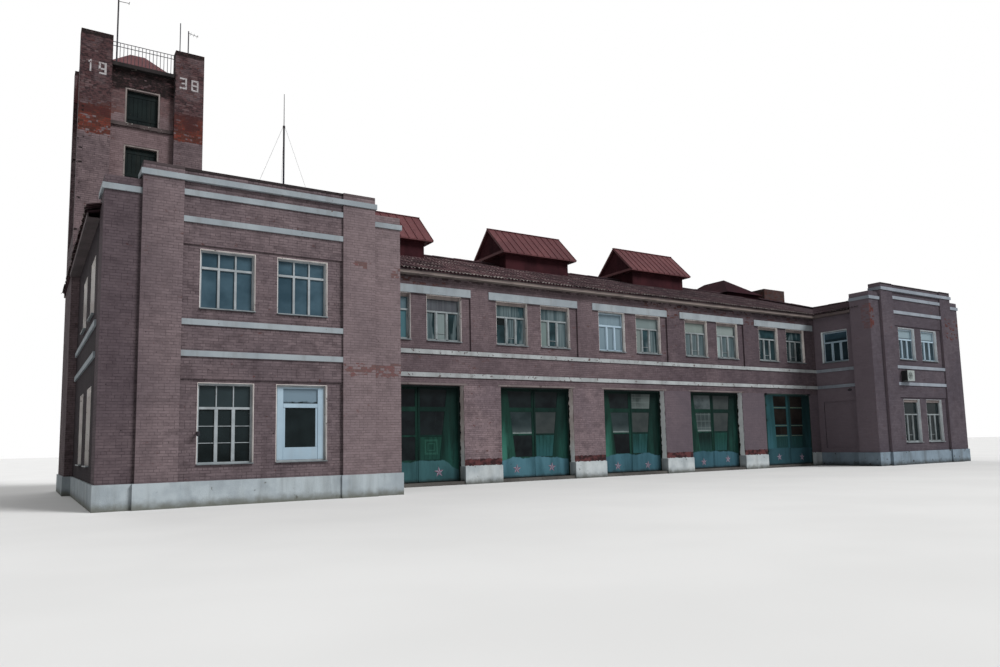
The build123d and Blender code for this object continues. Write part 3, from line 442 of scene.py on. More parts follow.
# Painted shade: the right wing's plinth is darker than the others.
right_plinth_white = surface(
    "right_plinth_white", (120, 135, 147), (104, 118, 129), chip=(60, 58, 56), chip_at=0.64, chip_scale=8.0,
    streak=0.5, stain=(76, 80, 82), foot=(40, 40, 36), **plinth,
)
pier_foot_white = surface(
    "pier_foot_white", (176, 182, 184), (152, 160, 164), chip=(118, 120, 118), chip_at=0.66, chip_scale=12.0,
    streak=0.35, stain=(100, 104, 102), foot=(54, 54, 46), **plinth,
)
floor_grey = surface("floor_concrete", (84, 82, 79), (62, 60, 58), chip=(50, 50, 48), scale=5.0)
cornice_dark = surface(
    "cornice_slab", (44, 40, 40), (30, 28, 29), chip=(140, 138, 130), chip_at=0.66, chip_scale=6.0,
    streak=0.5, roughness=0.95, distance=0.008,
)
eave = dict(streak=0.35, chip_at=0.64, roughness=0.8, distance=0.003, scale=9.0)
eave_grey = surface("eave_boards", (106, 96, 94), (86, 76, 76), chip=(64, 54, 54), **eave)
eave_dark = surface("left_eave_boards", (82, 72, 74), (66, 58, 60), chip=(50, 42, 44), **eave)
g = Graph("hall_fascia", 0.8, 0.0, 0.08)
fascia_low, fascia_high = (corner.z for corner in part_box("hall_eaves"))
g.tone = g.mix(g.span(g.noise(3.0, 5), 0.36, 0.64), (106, 96, 92), (92, 83, 81))
wander = g.z + g.sway(0.016, 2.4, 4)
lip = g.fall(wander, fascia_low + 0.012, fascia_low + 0.02)
g.coat(lip * g.span(g.noise(3.7, 5, (1, 1, 1), 6.6), 0.36, 0.5, 0.1, 0.45), (146, 137, 132))
g.coat(g.span(wander, fascia_high - 0.028, fascia_high - 0.018, 0.0, 0.85), (40, 34, 36))
fascia = g.finish(g.noise(40.0, 3, (0.1, 1, 1)), 0.002, 0.5)
lantern_red = surface(
    "lantern_boards", (63, 34, 38), (47, 26, 30), streak=0.4, stain=(26, 16, 18), chip=(84, 66, 64),
    chip_at=0.72, roughness=0.85, distance=0.0015, specular=0.03,
)
seamed_red = surface(
    "seamed_sheet", (95, 58, 60), (79, 47, 50), streak=0.3, stain=(58, 36, 38), chip=(78, 48, 42),
    chip_at=0.68, roughness=0.6, distance=0.001, scale=3.0, specular=0.08,
)
old_sheet = surface(
    "old_sheet", (50, 27, 32), (38, 22, 27), streak=0.4, stain=(28, 18, 20), chip=(62, 42, 40),
    chip_at=0.7, roughness=0.85, distance=0.0015, specular=0.02,
)
window_white = surface(
    "window_paint", (150, 157, 161), (128, 135, 139), chip=(80, 72, 66), chip_at=0.66, chip_scale=30.0,
    streak=0.3, stain=(92, 88, 86), roughness=0.55, scale=14.0,
)
hall_white = surface(
    "hall_window_paint", (134, 142, 145), (108, 115, 117), chip=(78, 70, 66), chip_at=0.64,
    chip_scale=34.0, streak=0.4, stain=(84, 80, 78), roughness=0.65, scale=14.0,
)
head_board = surface(
    "head_boards", (138, 129, 126), (114, 105, 104), chip=(78, 70, 68), chip_scale=26.0, streak=0.4,
    stain=(80, 74, 72), roughness=0.8, scale=12.0,
)
plastic_white = surface(
    "plastic_frame", (152, 172, 185), (140, 160, 174), streak=0.18, stain=(124, 128, 130),
    roughness=0.35, distance=0.0004,
)
reveal_grey = surface(
    "reveal_plaster", (248, 243, 239), (220, 211, 207), chip=(96, 86, 86), chip_at=0.63, streak=0.35,
    stain=(92, 88, 86), roughness=0.9, scale=10.0,
)
reveal_white = surface(
    "reveal_whitewash", (232, 238, 240), (206, 214, 218), chip=(110, 104, 106), chip_at=0.68,
    streak=0.25, stain=(120, 122, 122), roughness=0.9, scale=10.0,
)
sill_grey = surface(
    "sill_sheet", (122, 130, 134), (100, 108, 112), streak=0.3, chip=(84, 62, 52), chip_at=0.68,
    roughness=0.45, metallic=0.2, distance=0.0006, scale=12.0,
)
shutter_green = surface(
    "shutter_boards", (24, 32, 32), (17, 24, 25), streak=0.4, stain=(36, 36, 33), chip=(56, 56, 50),
    chip_at=0.7, roughness=0.85, scale=12.0, specular=0.1,
)
railing_grey = surface(
    "railing_paint", (44, 46, 56), (36, 34, 38), chip=(76, 48, 34), chip_scale=40.0, roughness=0.55,
    metallic=0.2,
)
frame_green = surface(
    "gate_frame_paint", (20, 36, 34), (26, 46, 42), chip=(38, 32, 28), chip_scale=26.0, streak=0.3,
    stain=(16, 22, 22), roughness=0.6, specular=0.15,
)
# The case's faces that look left get painted shade in a dark grey.
cooler_white = surface(
    "cooler_case", (150, 158, 156), (130, 138, 137), streak=0.35, stain=(94, 90, 84), roughness=0.45,
    distance=0.0004, left=(44, 47, 48),
)
cooler_mid = surface("cooler_wires", (96, 104, 103), (78, 86, 86), roughness=0.5)
cooler_dark = surface("cooler_slats", (34, 38, 41), (22, 25, 28), roughness=0.5)
facet = dict(chip_at=0.58, chip_scale=60.0, roughness=0.6)
star_red = surface("star_paint", (98, 56, 76), (82, 54, 70), chip=(84, 112, 122), **facet)
star_white = surface("star_edge", (134, 126, 140), (106, 108, 120), chip=(84, 116, 126), **facet)
numeral_white = surface(
    "numeral_paint", (170, 168, 170), (150, 146, 147), chip=(88, 70, 72), chip_at=0.58, chip_scale=30.0,
    roughness=0.8,
)
bar_yellow = surface(
    "last_gate_bars", (88, 96, 72), (64, 76, 64), chip=(44, 58, 58), chip_scale=30.0, chip_at=0.6,
    roughness=0.6,
)
lintel_steel = surface(
    "lintel_angle", (112, 102, 102), (88, 80, 80), chip=(60, 48, 44), chip_scale=20.0, roughness=0.6,
    streak=0.3,
)

# Roof sheets. Their waves and rows are those of the sheets that are modelled further down.

wave_pitch = 0.075
wave_height = 0.011
course_run = 0.56
main_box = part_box("main_roof")
wing_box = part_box("right_wing_roof")
eave_x, eave_y = main_box[1].x, main_box[1].y
lit_flank = 0.8  # the lit side of each crest, where the painted highlight goes, as an angle from its top


def roof_material(name, base, other, crest_axis=None):
    """Painted wavy sheets: blotches, moss, a painted highlight on one flank of each crest and painted shade
    on the other, and, at the eave, broken pale edges with a painted highlight.
    """
    g = Graph(name, 0.85, 0.0, 0.03)
    g.tone = g.mix(g.span(g.noise(1.6, 7, (1, 1, 1), 1.7, 0.62), 0.38, 0.62), base, other)
    g.coat(g.span(g.noise(2.6, 6, (1, 1, 1), 3.9, 0.65), 0.5, 0.62, 0.0, 0.8), (36, 31, 33))
    if crest_axis:
        across, long_way = {"x": (g.x, (1, 0.07, 0.2)), "y": (g.y, (0.07, 1, 0.2))}[crest_axis]
        wave = g.m("COSINE", across * (2 * math.pi / wave_pitch) - lit_flank)
        rough = g.span(g.noise(11.0, 4, long_way, 6.2, 0.62), 0.44, 0.56, 0.15, 0.95)
        # Painted highlight on the lit flank of each wave, broken up by noise and paler towards the left; then
        # painted shade on the other flank.
        faded_and_lit = g.both(g.span(wave, 0.25, 0.8), rough, g.span(g.x, -3.0, 3.0, 1.0, 0.5))
        g.coat(faded_and_lit, (142, 112, 114))
        g.coat(g.fall(wave, -0.5, 0.3) * 0.85, (24, 18, 20))
        if crest_axis == "x":
            row = g.m("WRAP", eave_y - abs(g.y) + 0.024, course_run, 0.0)
            torn = g.span(g.noise(8.0, 5, (1, 1, 1), 4.2, 0.6), 0.46, 0.56, 0.1, 0.85)
            g.coat(g.both(g.fall(row, 0.012, 0.04), torn), (132, 121, 119))
            dust = g.span(g.noise(17.0, 4, (1, 0.35, 1), 9.3, 0.6), 0.64, 0.67, 0.0, 0.45)
            g.coat(dust, (120, 110, 110))
        # Along the eave the broken sheet edges are pale cement, painted lighter still as a highlight where
        # they catch the light.
        low = g.fall(g.z + g.sway(0.07, 9.0, 5, (1, 1, 1), 2.9), 3.856, 3.874)
        g.coat(low * 0.85, (156, 148, 144))
    # Painted shade: the roof darkens towards the right.
    g.coat(g.span(g.x, -4.0, 3.0, 0.0, 0.45), (38, 35, 38))
    return g.finish(g.noise(60.0, 3), 0.0014, 0.6)


roof_red = roof_material("wavy_sheets", (66, 48, 53), (44, 35, 39), "x")
side_roof_red = roof_material("side_wavy_sheets", (66, 48, 53), (44, 35, 39), "y")
ridge_red = roof_material("ridge_sheets", (70, 50, 54), (54, 40, 44))

# Gate paint. On each leaf a newer teal covers the foot up to a wandering brushed line.

line_teal = {
    1: ((54, 88, 92), (40, 68, 72)),
    2: ((68, 104, 116), (50, 82, 92)),
    3: ((58, 92, 104), (44, 74, 84)),
    4: ((52, 84, 96), (40, 68, 78)),
    5: ((40, 68, 76), (32, 54, 61)),
}
centres_x = [-5.056 + 2.528 * i for i in range(5)]
gate_shift = 0.03
hung_out = 0.8265
leaf_wide = 0.8215
sides = ((-1, "left"), (1, "right"))


def gate_material(name, greens, streak, teals, line, wave, hung, side, reach, drop):
    """streak colours the foot of the stile hung at x = hung, reach is how strongly it does, and
    the newer paint's line climbs by drop towards that stile."""
    g = Graph(name, 0.5, 0.0, 0.05)
    brush = g.noise(3.0, 5, (3, 3, 0.5), 2.2)
    upper = g.mix(g.span(brush, 0.35, 0.7), *greens)
    away = (hung - g.x) * side
    strokes = g.span(g.noise(5.0, 5, (1.6, 1, 0.22), 5.1), 0.36, 0.62)
    faded_and_lit = g.both(g.fall(g.z, 0.5, 1.42), strokes, g.span(away, 0.12, 0.36, 1.0, 0.25))
    upper = g.mix(faded_and_lit * reach, upper, streak)
    # Painted shade under the lintel: the leaf darkens towards its top.
    upper = g.mix(g.span(g.z, 1.45, 1.76, 0.0, 0.55), upper, (12, 22, 22))
    lower = g.mix(g.span(g.noise(4.0, 5, (1, 1, 0.3), 3.3), 0.35, 0.7), *teals)
    edge = g.sway(wave, 2.8, 3, (1, 1, 0.2), 1.1) + g.fall(away, 0.02, 0.34, drop) + g.sway(0.03, 24.0, 3)
    g.tone = g.mix(g.fall(g.z + edge, line, line + 0.02), upper, lower)
    chips = g.span(g.noise(22.0, 6, (1, 1, 0.7), 4.4, 0.65), 0.65, 0.68)
    g.coat(chips * 0.6, (34, 40, 37))
    g.coat(g.fall(g.z + g.noise(12.0) * 0.06, 0.1, 0.16, 0.8), (28, 32, 31))
    g.coat(g.span(g.noise(10.0, 4, (1, 1, 0.08), 7.3), 0.5, 0.8, 0.0, 0.3), (18, 30, 30))
    rough = g.span(g.noise(8.0), 0.3, 0.7, 0.4, 0.62)
    return g.finish(brush - chips * 0.6, 0.0012, 0.5, rough)


def hung_edge(number, side):
    """Where a leaf's hung edge stands, in x."""
    return centres_x[number - 1] + gate_shift + side * hung_out


gate_paints = {}
for number in range(1, 6):
    for side, word in sides:
        line, wave = 0.435, 0.16
        if number == 5:
            greens = ((34, 66, 71), (28, 56, 60)) if side < 0 else ((22, 42, 44), (18, 36, 38))
            streak, reach, line, wave = (46, 82, 91), (0.8 if side < 0 else 0.4), 0.455, 0.03
        elif side < 0:
            greens, streak, reach = ((14, 36, 31), (19, 46, 39)), (50, 100, 88), (0.95 if number > 1 else 0.5)
        else:
            greens, streak, reach = ((11, 29, 26), (15, 37, 33)), (30, 70, 63), 0.75
        drop = {1: 0.16 if side > 0 else 0.0, 5: 0.0}.get(number, 0.05)
        gate_paints[f"gate_{number}_{word}_leaf"] = gate_material(
            f"gate_{number}_{word}_paint", greens, streak, line_teal[number], line, wave,
            hung_edge(number, side), side, reach, drop,
        )


def board_material(name, tone_a, tone_b, low_tone, marked=False):
    """A boarded field under brushed paint, for one gate with a square mark left on it."""
    g = Graph(name, 0.6, 0.0, 0.05)
    strokes = g.noise(7.0, 5, (1.5, 1, 0.2), 4.1)
    g.tone = g.mix(g.span(strokes, 0.35, 0.65), tone_a, tone_b)
    g.coat(g.fall(g.z, 0.45, 0.8, 0.55), low_tone)
    if marked:
        far = g.either(abs(g.x - (centres_x[0] + gate_shift + 0.27)), abs(g.z - 0.69))
        ring = g.both(g.span(far, 0.09, 0.11), g.fall(far, 0.125, 0.145))
        inner = g.both(g.span(far, 0.045, 0.06), g.fall(far, 0.065, 0.08))
        g.coat(g.either(ring, inner) * 0.34, (48, 92, 80))
    return g.finish(strokes, 0.001, 0.5)


board_marked = board_material("marked_board", (17, 42, 36), (23, 54, 46), (28, 60, 55), True)
board_teal = board_material("teal_board", (20, 48, 46), (31, 66, 65), (40, 78, 83))
board_dark = board_material("dark_board", (12, 27, 25), (17, 36, 33), (30, 62, 60))
board_green = board_material("green_board", (18, 46, 42), (24, 58, 52), (34, 70, 72))
board_last = board_material("last_board", (19, 43, 42), (25, 52, 51), (28, 52, 56))


def glass_material(name, low, high, bottom=None, grid=None):
    """Old glass with cloudy dirt; bottom whitens the pane's foot, and grid draws muntins seen
    through it as (first x, pitch, first z, pitch)."""
    g = Graph(name, 0.1, 0.0, 0.06)
    cloud = g.noise(1.9, 5, (1, 1, 1.3), 2.0)
    g.tone = g.mix(g.span(cloud, 0.38, 0.62), low, high)
    g.coat(g.span(g.noise(9.0, 4, (1, 1, 0.2), 4.0), 0.55, 0.85, 0.0, 0.15), (66, 72, 73))
    if grid:
        for value, start, pitch in ((g.x, *grid[:2]), (g.z, *grid[2:])):
            g.coat(g.fall(g.m("PINGPONG", value - start, pitch / 2), 0.005, 0.009, 0.55), (86, 96, 95))
    if bottom:
        rag = g.z + g.sway(0.06, 7.0, 4)
        g.coat(g.fall(rag, bottom, bottom + 0.03, 0.85), (124, 136, 134))
        g.coat(g.fall(rag, bottom, bottom + 0.16, 0.35), (84, 94, 95))
    return g.finish(g.noise(2.5), 0.004, 0.15, g.span(cloud, 0.3, 0.7, 0.05, 0.14))


white_foot = 0.915
panes = {
    "dark": glass_material("gate_pane_dark", (12, 15, 18), (22, 28, 30)),
    "grey": glass_material("gate_pane_grey", (42, 48, 49), (52, 57, 57)),
    "foot": glass_material("gate_pane_foot", (26, 36, 38), (40, 50, 52), white_foot),
    "pale": glass_material("gate_pane_pale", (40, 48, 50), (70, 78, 80)),
    "muntin": glass_material("gate_pane_muntin", (46, 54, 53), (78, 86, 85), grid=(0.39, 0.2, 1.44, 0.11)),
    "barred": glass_material(
        "gate_pane_barred", (44, 53, 54), (56, 66, 67), white_foot, (2.06, 0.13, 0.99, 0.15)
    ),
    "brown": glass_material("gate_pane_brown", (20, 18, 17), (30, 27, 25)),
}

# Panes of the hall's upper windows behind which a blind, a curtain or a dark gap shows, or on which a
# reflection of the sky is painted, each with its range in x and in z and a given tone.

special_panes = (
    (-4.68, -4.44, 2.64, 3.12, (116, 128, 128)),
    (-3.36, -3.16, 3.0, 3.14, (16, 19, 19)),
    (-2.34, -2.12, 2.64, 3.14, (104, 118, 116)),
    (-0.85, -0.2, 2.64, 3.4, (112, 130, 140)),
    (0.2, 0.4, 2.64, 3.14, (112, 120, 118)),
    (0.2, 0.84, 3.17, 3.4, (110, 122, 122)),
    (1.68, 2.34, 3.17, 3.4, (118, 128, 124)),
    (2.72, 3.36, 3.17, 3.4, (126, 136, 134)),
    (2.72, 2.92, 2.64, 3.14, (132, 146, 146)),
    (-5.9, -5.22, 3.17, 3.4, (84, 104, 112)),
    (-5.9, -5.22, 2.64, 3.14, (70, 104, 112)),
)


def hung_glass():
    """The windows' glass, with painted reflections: blue where it mirrors the sky, dark below where it
    mirrors trees, pale where curtains hang.
    """
    g = Graph("window_glass", 0.08, 0.0, 0.06, 0.96)
    cloud = g.noise(1.1, 4, (1, 1, 1.4), 2.0)
    cloudy = g.span(cloud, 0.36, 0.62)
    low = g.mix(cloudy, (13, 19, 20), (28, 36, 38))
    high = g.mix(cloudy, (42, 62, 73), (66, 88, 100))
    g.tone = g.mix(g.span(g.z, 1.9, 2.2), low, high)
    hall = g.both(g.zone("y", -2.31, -2.2, 0.01), g.zone("z", 2.55, 3.5, 0.01))
    g.coat(hall, g.mix(cloudy, (24, 38, 41), (44, 66, 72)))
    over = g.span(g.z, 3.15, 3.16)
    fold = g.span(g.noise(24.0, 3, (1, 1, 0.03), 0.0, 0.5), 0.36, 0.64)
    cloth = g.mix(fold, (62, 76, 80), (100, 113, 116))
    cloth = g.mix(g.both(g.zone("x", -4.8, -4.17, 0.1), over) * 0.7, cloth, (78, 72, 78))
    spread = g.span(g.noise(3.7, 3, (1, 1, 0.25), 8.4), 0.47, 0.52)
    closed = g.both(g.zone("x", 1.6, 3.44, 0.01), g.fall(g.z, 3.15, 3.16, 0.9))
    drawn = ((-4.9, -4.17), (-3.42, -2.86), (-2.38, -1.84))
    veiled = g.either(*(g.zone("x", *reach, 0.01) for reach in drawn))
    g.coat(g.either(spread, closed, g.both(veiled, over)) * hall * 0.8, cloth)
    for x0, x1, z0, z1, pane in special_panes:
        g.coat(g.both(hall, g.zone("x", x0, x1, 0.002), g.zone("z", z0, z1, 0.002)) * 0.85, pane)
    g.coat(g.both(g.span(g.x, 4.0, 4.1), g.fall(g.z, 3.19, 3.2)) * 0.6, (28, 36, 38))
    # Painted reflection of the sky on the upper panes of the right wing's front.
    sky = g.both(g.span(g.x, 7.0, 7.1), g.zone("y", -4.2, -3.9, 0.02), g.span(g.z, 3.14, 3.16))
    g.coat(sky * 0.85, (128, 146, 154))
    g.coat(g.both(g.fall(g.x, -8.3, -8.2), g.zone("z", 1.26, 1.7, 0.02)) * 0.4, (56, 68, 72))
    # Painted reflection of the sky above a tree line on the glass of the left wing's plastic window.
    door = g.both(g.zone("x", -8.09, -7.32, 0.01), g.zone("z", 1.3, 1.6, 0.01))
    skyline = g.span(g.z + g.noise(11.0, 5, (1, 1, 1), 2.4) * 0.1, 1.4, 1.43)
    g.coat(door * skyline, (104, 122, 134))
    return g.finish(g.noise(2.5), 0.003, 0.12, g.span(cloud, 0.3, 0.7, 0.04, 0.1))


looks = {
    "brick": hall_brick,
    "plinth_render": plinth_white,
    "white_band": band_white,
    "floor": floor_grey,
    "roof_sheet": ridge_red,
    "seamed_roof": seamed_red,
    "eave_board": eave_grey,
    "lantern_board": lantern_red,
    "shutter_wood": shutter_green,
    "window_wood": hall_white,
    "window_glass": hung_glass(),
    "gate_paint": frame_green,
    "railing_paint": railing_grey,
    "sill_metal": sill_grey,
    "cooler_case": cooler_white,
}
own_looks = {
    "left_wing_front_wall": left_brick,
    "right_wing_front_wall": right_brick,
    "left_wing_outer_wall": side_brick,
    "left_wing_inner_wall": side_brick,
    "right_wing_outer_wall": right_brick,
    "right_wing_inner_wall": right_brick,
    "right_wing_bands": shaded_band_white,
    "right_wing_plinth": right_plinth_white,
    "old_lantern_roof": old_sheet,
    "old_lantern_body": old_sheet,
    "garage_piers": pier_brick,
    "garage_pier_plinths": pier_foot_white,
    "left_wing_eaves": eave_dark,
    "hall_eaves": fascia,
    "garage_string_courses": string_white,
    "tower_front_wall": tower_brick,
    "tower_side_walls": tower_brick,
    "tower_rear_wall": tower_brick,
    "tower_ledges": ledge_worn,
    "tower_cornice": cornice_dark,
    "chimney": chimney_brick,
    "left_wing_window_frames": window_white,
    "right_wing_window_frames": window_white,
    **gate_paints,
}
for part in frame["record"]["subparts"]:
    look = own_looks.get(part["node"], looks[part["material_slot"]])
    for place in nodes[part["node"]].material_slots:
        place.material = look


# Pieces


def soften(obj, width):
    bevel = obj.modifiers.new("soft_edges", "BEVEL")
    bevel.width = width
    bevel.segments = 1
    bevel.limit_method = "ANGLE"


def piece(name, verts, faces, material, slot, body="building", replaces=(), bevel=0.0):
    mesh = bpy.data.meshes.new(name)
    mesh.from_pydata(verts, [], faces)
    mesh.validate()
    mesh.update()
    obj = bpy.data.objects.new(name, mesh)
    bpy.context.collection.objects.link(obj)
    for look in material if isinstance(material, list) else [material]:
        mesh.materials.append(look)
    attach(obj, body)
    if replaces:
        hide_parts(*replaces)
    if bevel:
        soften(obj, bevel)
    return obj


def add_box(verts, faces, *ranges):
    n = len(verts)
    xs, ys, zs = (sorted(span) for span in ranges)
    verts += [(x, y, z) for x in xs for y in ys for z in zs]
    quads = ((0, 1, 3, 2), (4, 6, 7, 5), (0, 4, 5, 1), (2, 3, 7, 6), (0, 2, 6, 4), (1, 5, 7, 3))
    faces += [tuple(n + i for i in quad) for quad in quads]


def boxes(name, items, material, slot, body="building", bevel=0.0):
    """One piece from many bars or boards, each an (x, y, z) triple of ranges."""
    verts, faces = [], []
    for item in items:
        add_box(verts, faces, *item)
    return piece(name, verts, faces, material, slot, body, bevel=bevel)


def prism(verts, faces, near, far):
    """A solid between two four-cornered ends."""
    n = len(verts)
    verts += near + far
    faces += [(n, n + 1, n + 2, n + 3), (n + 7, n + 6, n + 5, n + 4)]
    faces += [(n + i, n + 4 + i, n + 4 + (i + 1) % 4, n + (i + 1) % 4) for i in range(4)]


def add_beam(verts, faces, start, end, width, height, upward=(0, 0, 1)):
    """A bar from start to end; its underside follows the line, its height stands along upward."""
    a, b = Vector(start), Vector(end)
    run = (b - a).normalized()
    across = run.cross(Vector(upward)).normalized() * width / 2
    rise = across.cross(run).normalized() * height
    offsets = (rise - across, rise + across, across, -across)
    prism(verts, faces, *([tuple(p + offset) for offset in offsets] for p in (a, b)))


# Roof slopes in wavy sheets

eave_z = 3.86
front_slope = (main_box[1].z - eave_z) / eave_y
wing_in = wing_box[0].x
wing_mid = (wing_in + eave_x) / 2
end_slope = (wing_box[1].z - eave_z) / (eave_x - wing_mid)
valley_y = -eave_y + (eave_x - wing_mid) * end_slope / front_slope
ridge_end = eave_x - eave_y * front_slope / end_slope
wing_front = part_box("right_wing_front_wall")[0].y + 0.315
return_y = -3.53  # in front of it the wing slopes are narrower, between the parapet's returns
tower_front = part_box("tower_front_wall")
tower_x = (tower_front[0].x, tower_front[1].x)
tower_y = (tower_front[0].y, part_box("tower_rear_wall")[1].y)
sheet_width = 0.56
over_slab = 0.012


def cut(bm, x, y, normal_x, normal_y, clear=False):
    """Cuts a mesh along an upright plane; clear takes away what lies beyond it."""
    bmesh.ops.bisect_plane(
        bm, geom=list(bm.verts) + list(bm.edges) + list(bm.faces), plane_co=(x, y, 0),
        plane_no=(normal_x, normal_y, 0), clear_outer=clear,
    )


def wavy(name, eave, along, climb, slope, span, outline):
    """Rows of wavy sheets on one slope. eave is a plan point on the eave line, along runs with the
    eave and climb up the slope; outline is the slope's convex plan, walked counterclockwise."""
    along, climb, eave = Vector(along), Vector(climb), Vector(eave)
    step = wave_pitch / 6
    columns = int((span[1] - span[0]) / step) + 1
    depth = max((Vector(p) - eave).dot(climb) for p in outline)
    verts, faces = [], []
    for row in range(max(1, math.ceil(depth / course_run))):
        low = row * course_run - (0.02 if row else 0.03)
        high = min((row + 1) * course_run, depth) + 0.01
        start = len(verts)
        sheets = {}
        for i in range(columns):
            u = span[0] + i * step
            sheet = int(u // sheet_width)
            if sheet not in sheets:
                sheets[sheet] = (rng.uniform(-0.012, 0.008), rng.uniform(-0.003, 0.004), rng.random())
            shift, lift, broken = sheets[sheet]
            edge = low + shift
            if row == 0 and broken > 0.6:
                edge += 0.02 * max(0, math.sin(u * 23 + broken * 9)) + 0.01 * max(0, math.sin(u * 61))
            wave = wave_height * math.cos(2 * math.pi * u / wave_pitch)
            for v, raise_by in ((edge, 0.001), (edge, 0.009), (high, 0.0)):
                z = eave_z + slope * v + over_slab + wave + raise_by + lift
                verts.append((*(eave + along * u + climb * v), z))
        for i in range(columns - 1):
            a = start + 3 * i
            faces += [(a, a + 3, a + 4, a + 1), (a + 1, a + 4, a + 5, a + 2)]
    mesh = piece(name, verts, faces, roof_red if along.x else side_roof_red, "roof_sheet").data
    bm = bmesh.new()
    bm.from_mesh(mesh)
    corners = [Vector(p) for p in outline]
    for a, b in zip(corners, corners[1:] + corners[:1]):
        out = Vector((b.y - a.y, a.x - b.x)).normalized()
        if out.dot(climb) >= -0.999:
            cut(bm, *a, *out, clear=True)
    if min(p.x for p in corners) < tower_x[1] and max(p.y for p in corners) > tower_y[0]:
        for x in tower_x:
            cut(bm, x, 0, 1, 0)
        for y in tower_y:
            cut(bm, 0, y, 0, 1)
        middles = ((face, face.calc_center_median()) for face in bm.faces)
        inside = [f for f, c in middles if tower_x[0] < c.x < tower_x[1] and tower_y[0] < c.y < tower_y[1]]
        bmesh.ops.delete(bm, geom=inside, context="FACES")
    bm.to_mesh(mesh)
    bm.free()
    for face in mesh.polygons:
        face.use_smooth = True


wavy(
    "front_roof_sheets", (0, -eave_y), (1, 0), (0, 1), front_slope, (-wing_mid - 0.1, wing_mid + 0.1),
    [(-wing_in, -eave_y - 0.1), (wing_in, -eave_y - 0.1), (wing_in, -eave_y), (wing_mid, valley_y),
     (ridge_end, 0), (-ridge_end, 0), (-wing_mid, valley_y), (-wing_in, -eave_y)],
)
wavy(
    "rear_roof_sheets", (0, eave_y), (-1, 0), (0, -1), front_slope, (-eave_x - 0.1, eave_x + 0.1),
    [(eave_x, eave_y), (-eave_x, eave_y), (-ridge_end, 0), (ridge_end, 0)],
)

# Slopes of the right end and wing: eave line, which way they climb in x, range in y, outline. The
# left ones mirror them.

gable_in, gable_out = 6.575, 9.995
end_parts = (
    ("end", eave_x, -1, (valley_y - 0.02, eave_y + 0.1),
     [(eave_x, valley_y), (eave_x, eave_y), (ridge_end, 0), (wing_mid, valley_y)]),
    ("outer", eave_x, -1, (return_y, valley_y + 0.02),
     [(wing_mid, return_y), (eave_x, return_y), (eave_x, valley_y), (wing_mid, valley_y)]),
    ("outer_front", eave_x, -1, (wing_front, return_y + 0.02),
     [(wing_mid, wing_front), (gable_out, wing_front), (gable_out, return_y), (wing_mid, return_y)]),
    ("inner", wing_in, 1, (return_y, valley_y + 0.02),
     [(wing_in, return_y), (wing_mid, return_y), (wing_mid, valley_y), (wing_in, -eave_y)]),
    ("inner_front", wing_in, 1, (wing_front, return_y + 0.02),
     [(gable_in, wing_front), (wing_mid, wing_front), (wing_mid, return_y), (gable_in, return_y)]),
)
for side, word in sides[::-1]:
    for part, base, climb, reach, outline in end_parts:
        along = -climb * side
        wavy(
            f"{word}_{part}_sheets", (side * base, 0), (0, along), (side * climb, 0), end_slope,
            sorted(along * y for y in reach), [(side * x, y) for x, y in outline][::side],
        )

# Lapped half-round caps along the ridges

main_z = eave_z + eave_y * front_slope + over_slab
wing_z = eave_z + (eave_x - wing_mid) * end_slope + over_slab
cap_radius, cap_run = 0.045, 0.55
ridges = [((-ridge_end, 0, main_z), (ridge_end, 0, main_z))]
for side in (-1, 1):
    ridges.append(((side * ridge_end, 0, main_z), (side * wing_mid, valley_y, wing_z)))
    ridges.append(((side * wing_mid, valley_y, wing_z), (side * wing_mid, wing_front, wing_z)))
ridges.append(((ridge_end, 0, main_z), (eave_x, eave_y, eave_z + 0.02)))
verts, faces = [], []
for start, end in ridges:
    a, b = Vector(start), Vector(end)
    length = (b - a).length
    run = (b - a).normalized()
    across = run.cross(Vector((0, 0, 1))).normalized()
    rise = across.cross(run)
    count = max(1, round(length / cap_run))
    for i in range(count):
        n = len(verts)
        for at, flare in ((length * i / count - 0.02, 1.08), (length * (i + 1) / count, 0.92)):
            r = cap_radius * flare
            for k in range(7):
                t = math.pi * k / 6
                round_it = across * math.cos(t) * r * 1.5 + rise * math.sin(t) * r
                verts.append(tuple(a + run * at + round_it))
        faces += [(n + k, n + k + 1, n + k + 8, n + k + 7) for k in range(6)]
        faces.append(tuple(range(n, n + 7)))
piece("ridge_caps", verts, faces, ridge_red, "roof_sheet")

# Lantern seams and gable boards

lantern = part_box("lantern_roofs")
lantern_len = 2.05
lantern_half = lantern[1].y
ridge_z, lantern_eave = lantern[1].z, lantern[0].z + 0.03
centres = [lantern[0].x + lantern_len / 2, (lantern[0].x + lantern[1].x) / 2, lantern[1].x - lantern_len / 2]
seams, ridges, gables = ([], []), ([], []), ([], [])
for cx in centres:
    for i in range(12):
        x = cx - lantern_len / 2 + 0.006 + (lantern_len - 0.012) * i / 11
        for s in (-1, 1):
            slope_up = Vector((0, s * (ridge_z - lantern_eave), lantern_half)).normalized()
            low = (x, s * (lantern_half + 0.012), lantern_eave - 0.012)
            add_beam(*seams, low, (x, 0, ridge_z), 0.007, 0.012, slope_up)
    x0, x1 = cx - lantern_len / 2 - 0.006, cx + lantern_len / 2 + 0.006
    add_beam(*ridges, (x0, 0, ridge_z - 0.002), (x1, 0, ridge_z - 0.002), 0.05, 0.014)
piece("lantern_seams", *seams, seamed_red, "seamed_roof")
piece("lantern_ridges", *ridges, seamed_red, "seamed_roof")

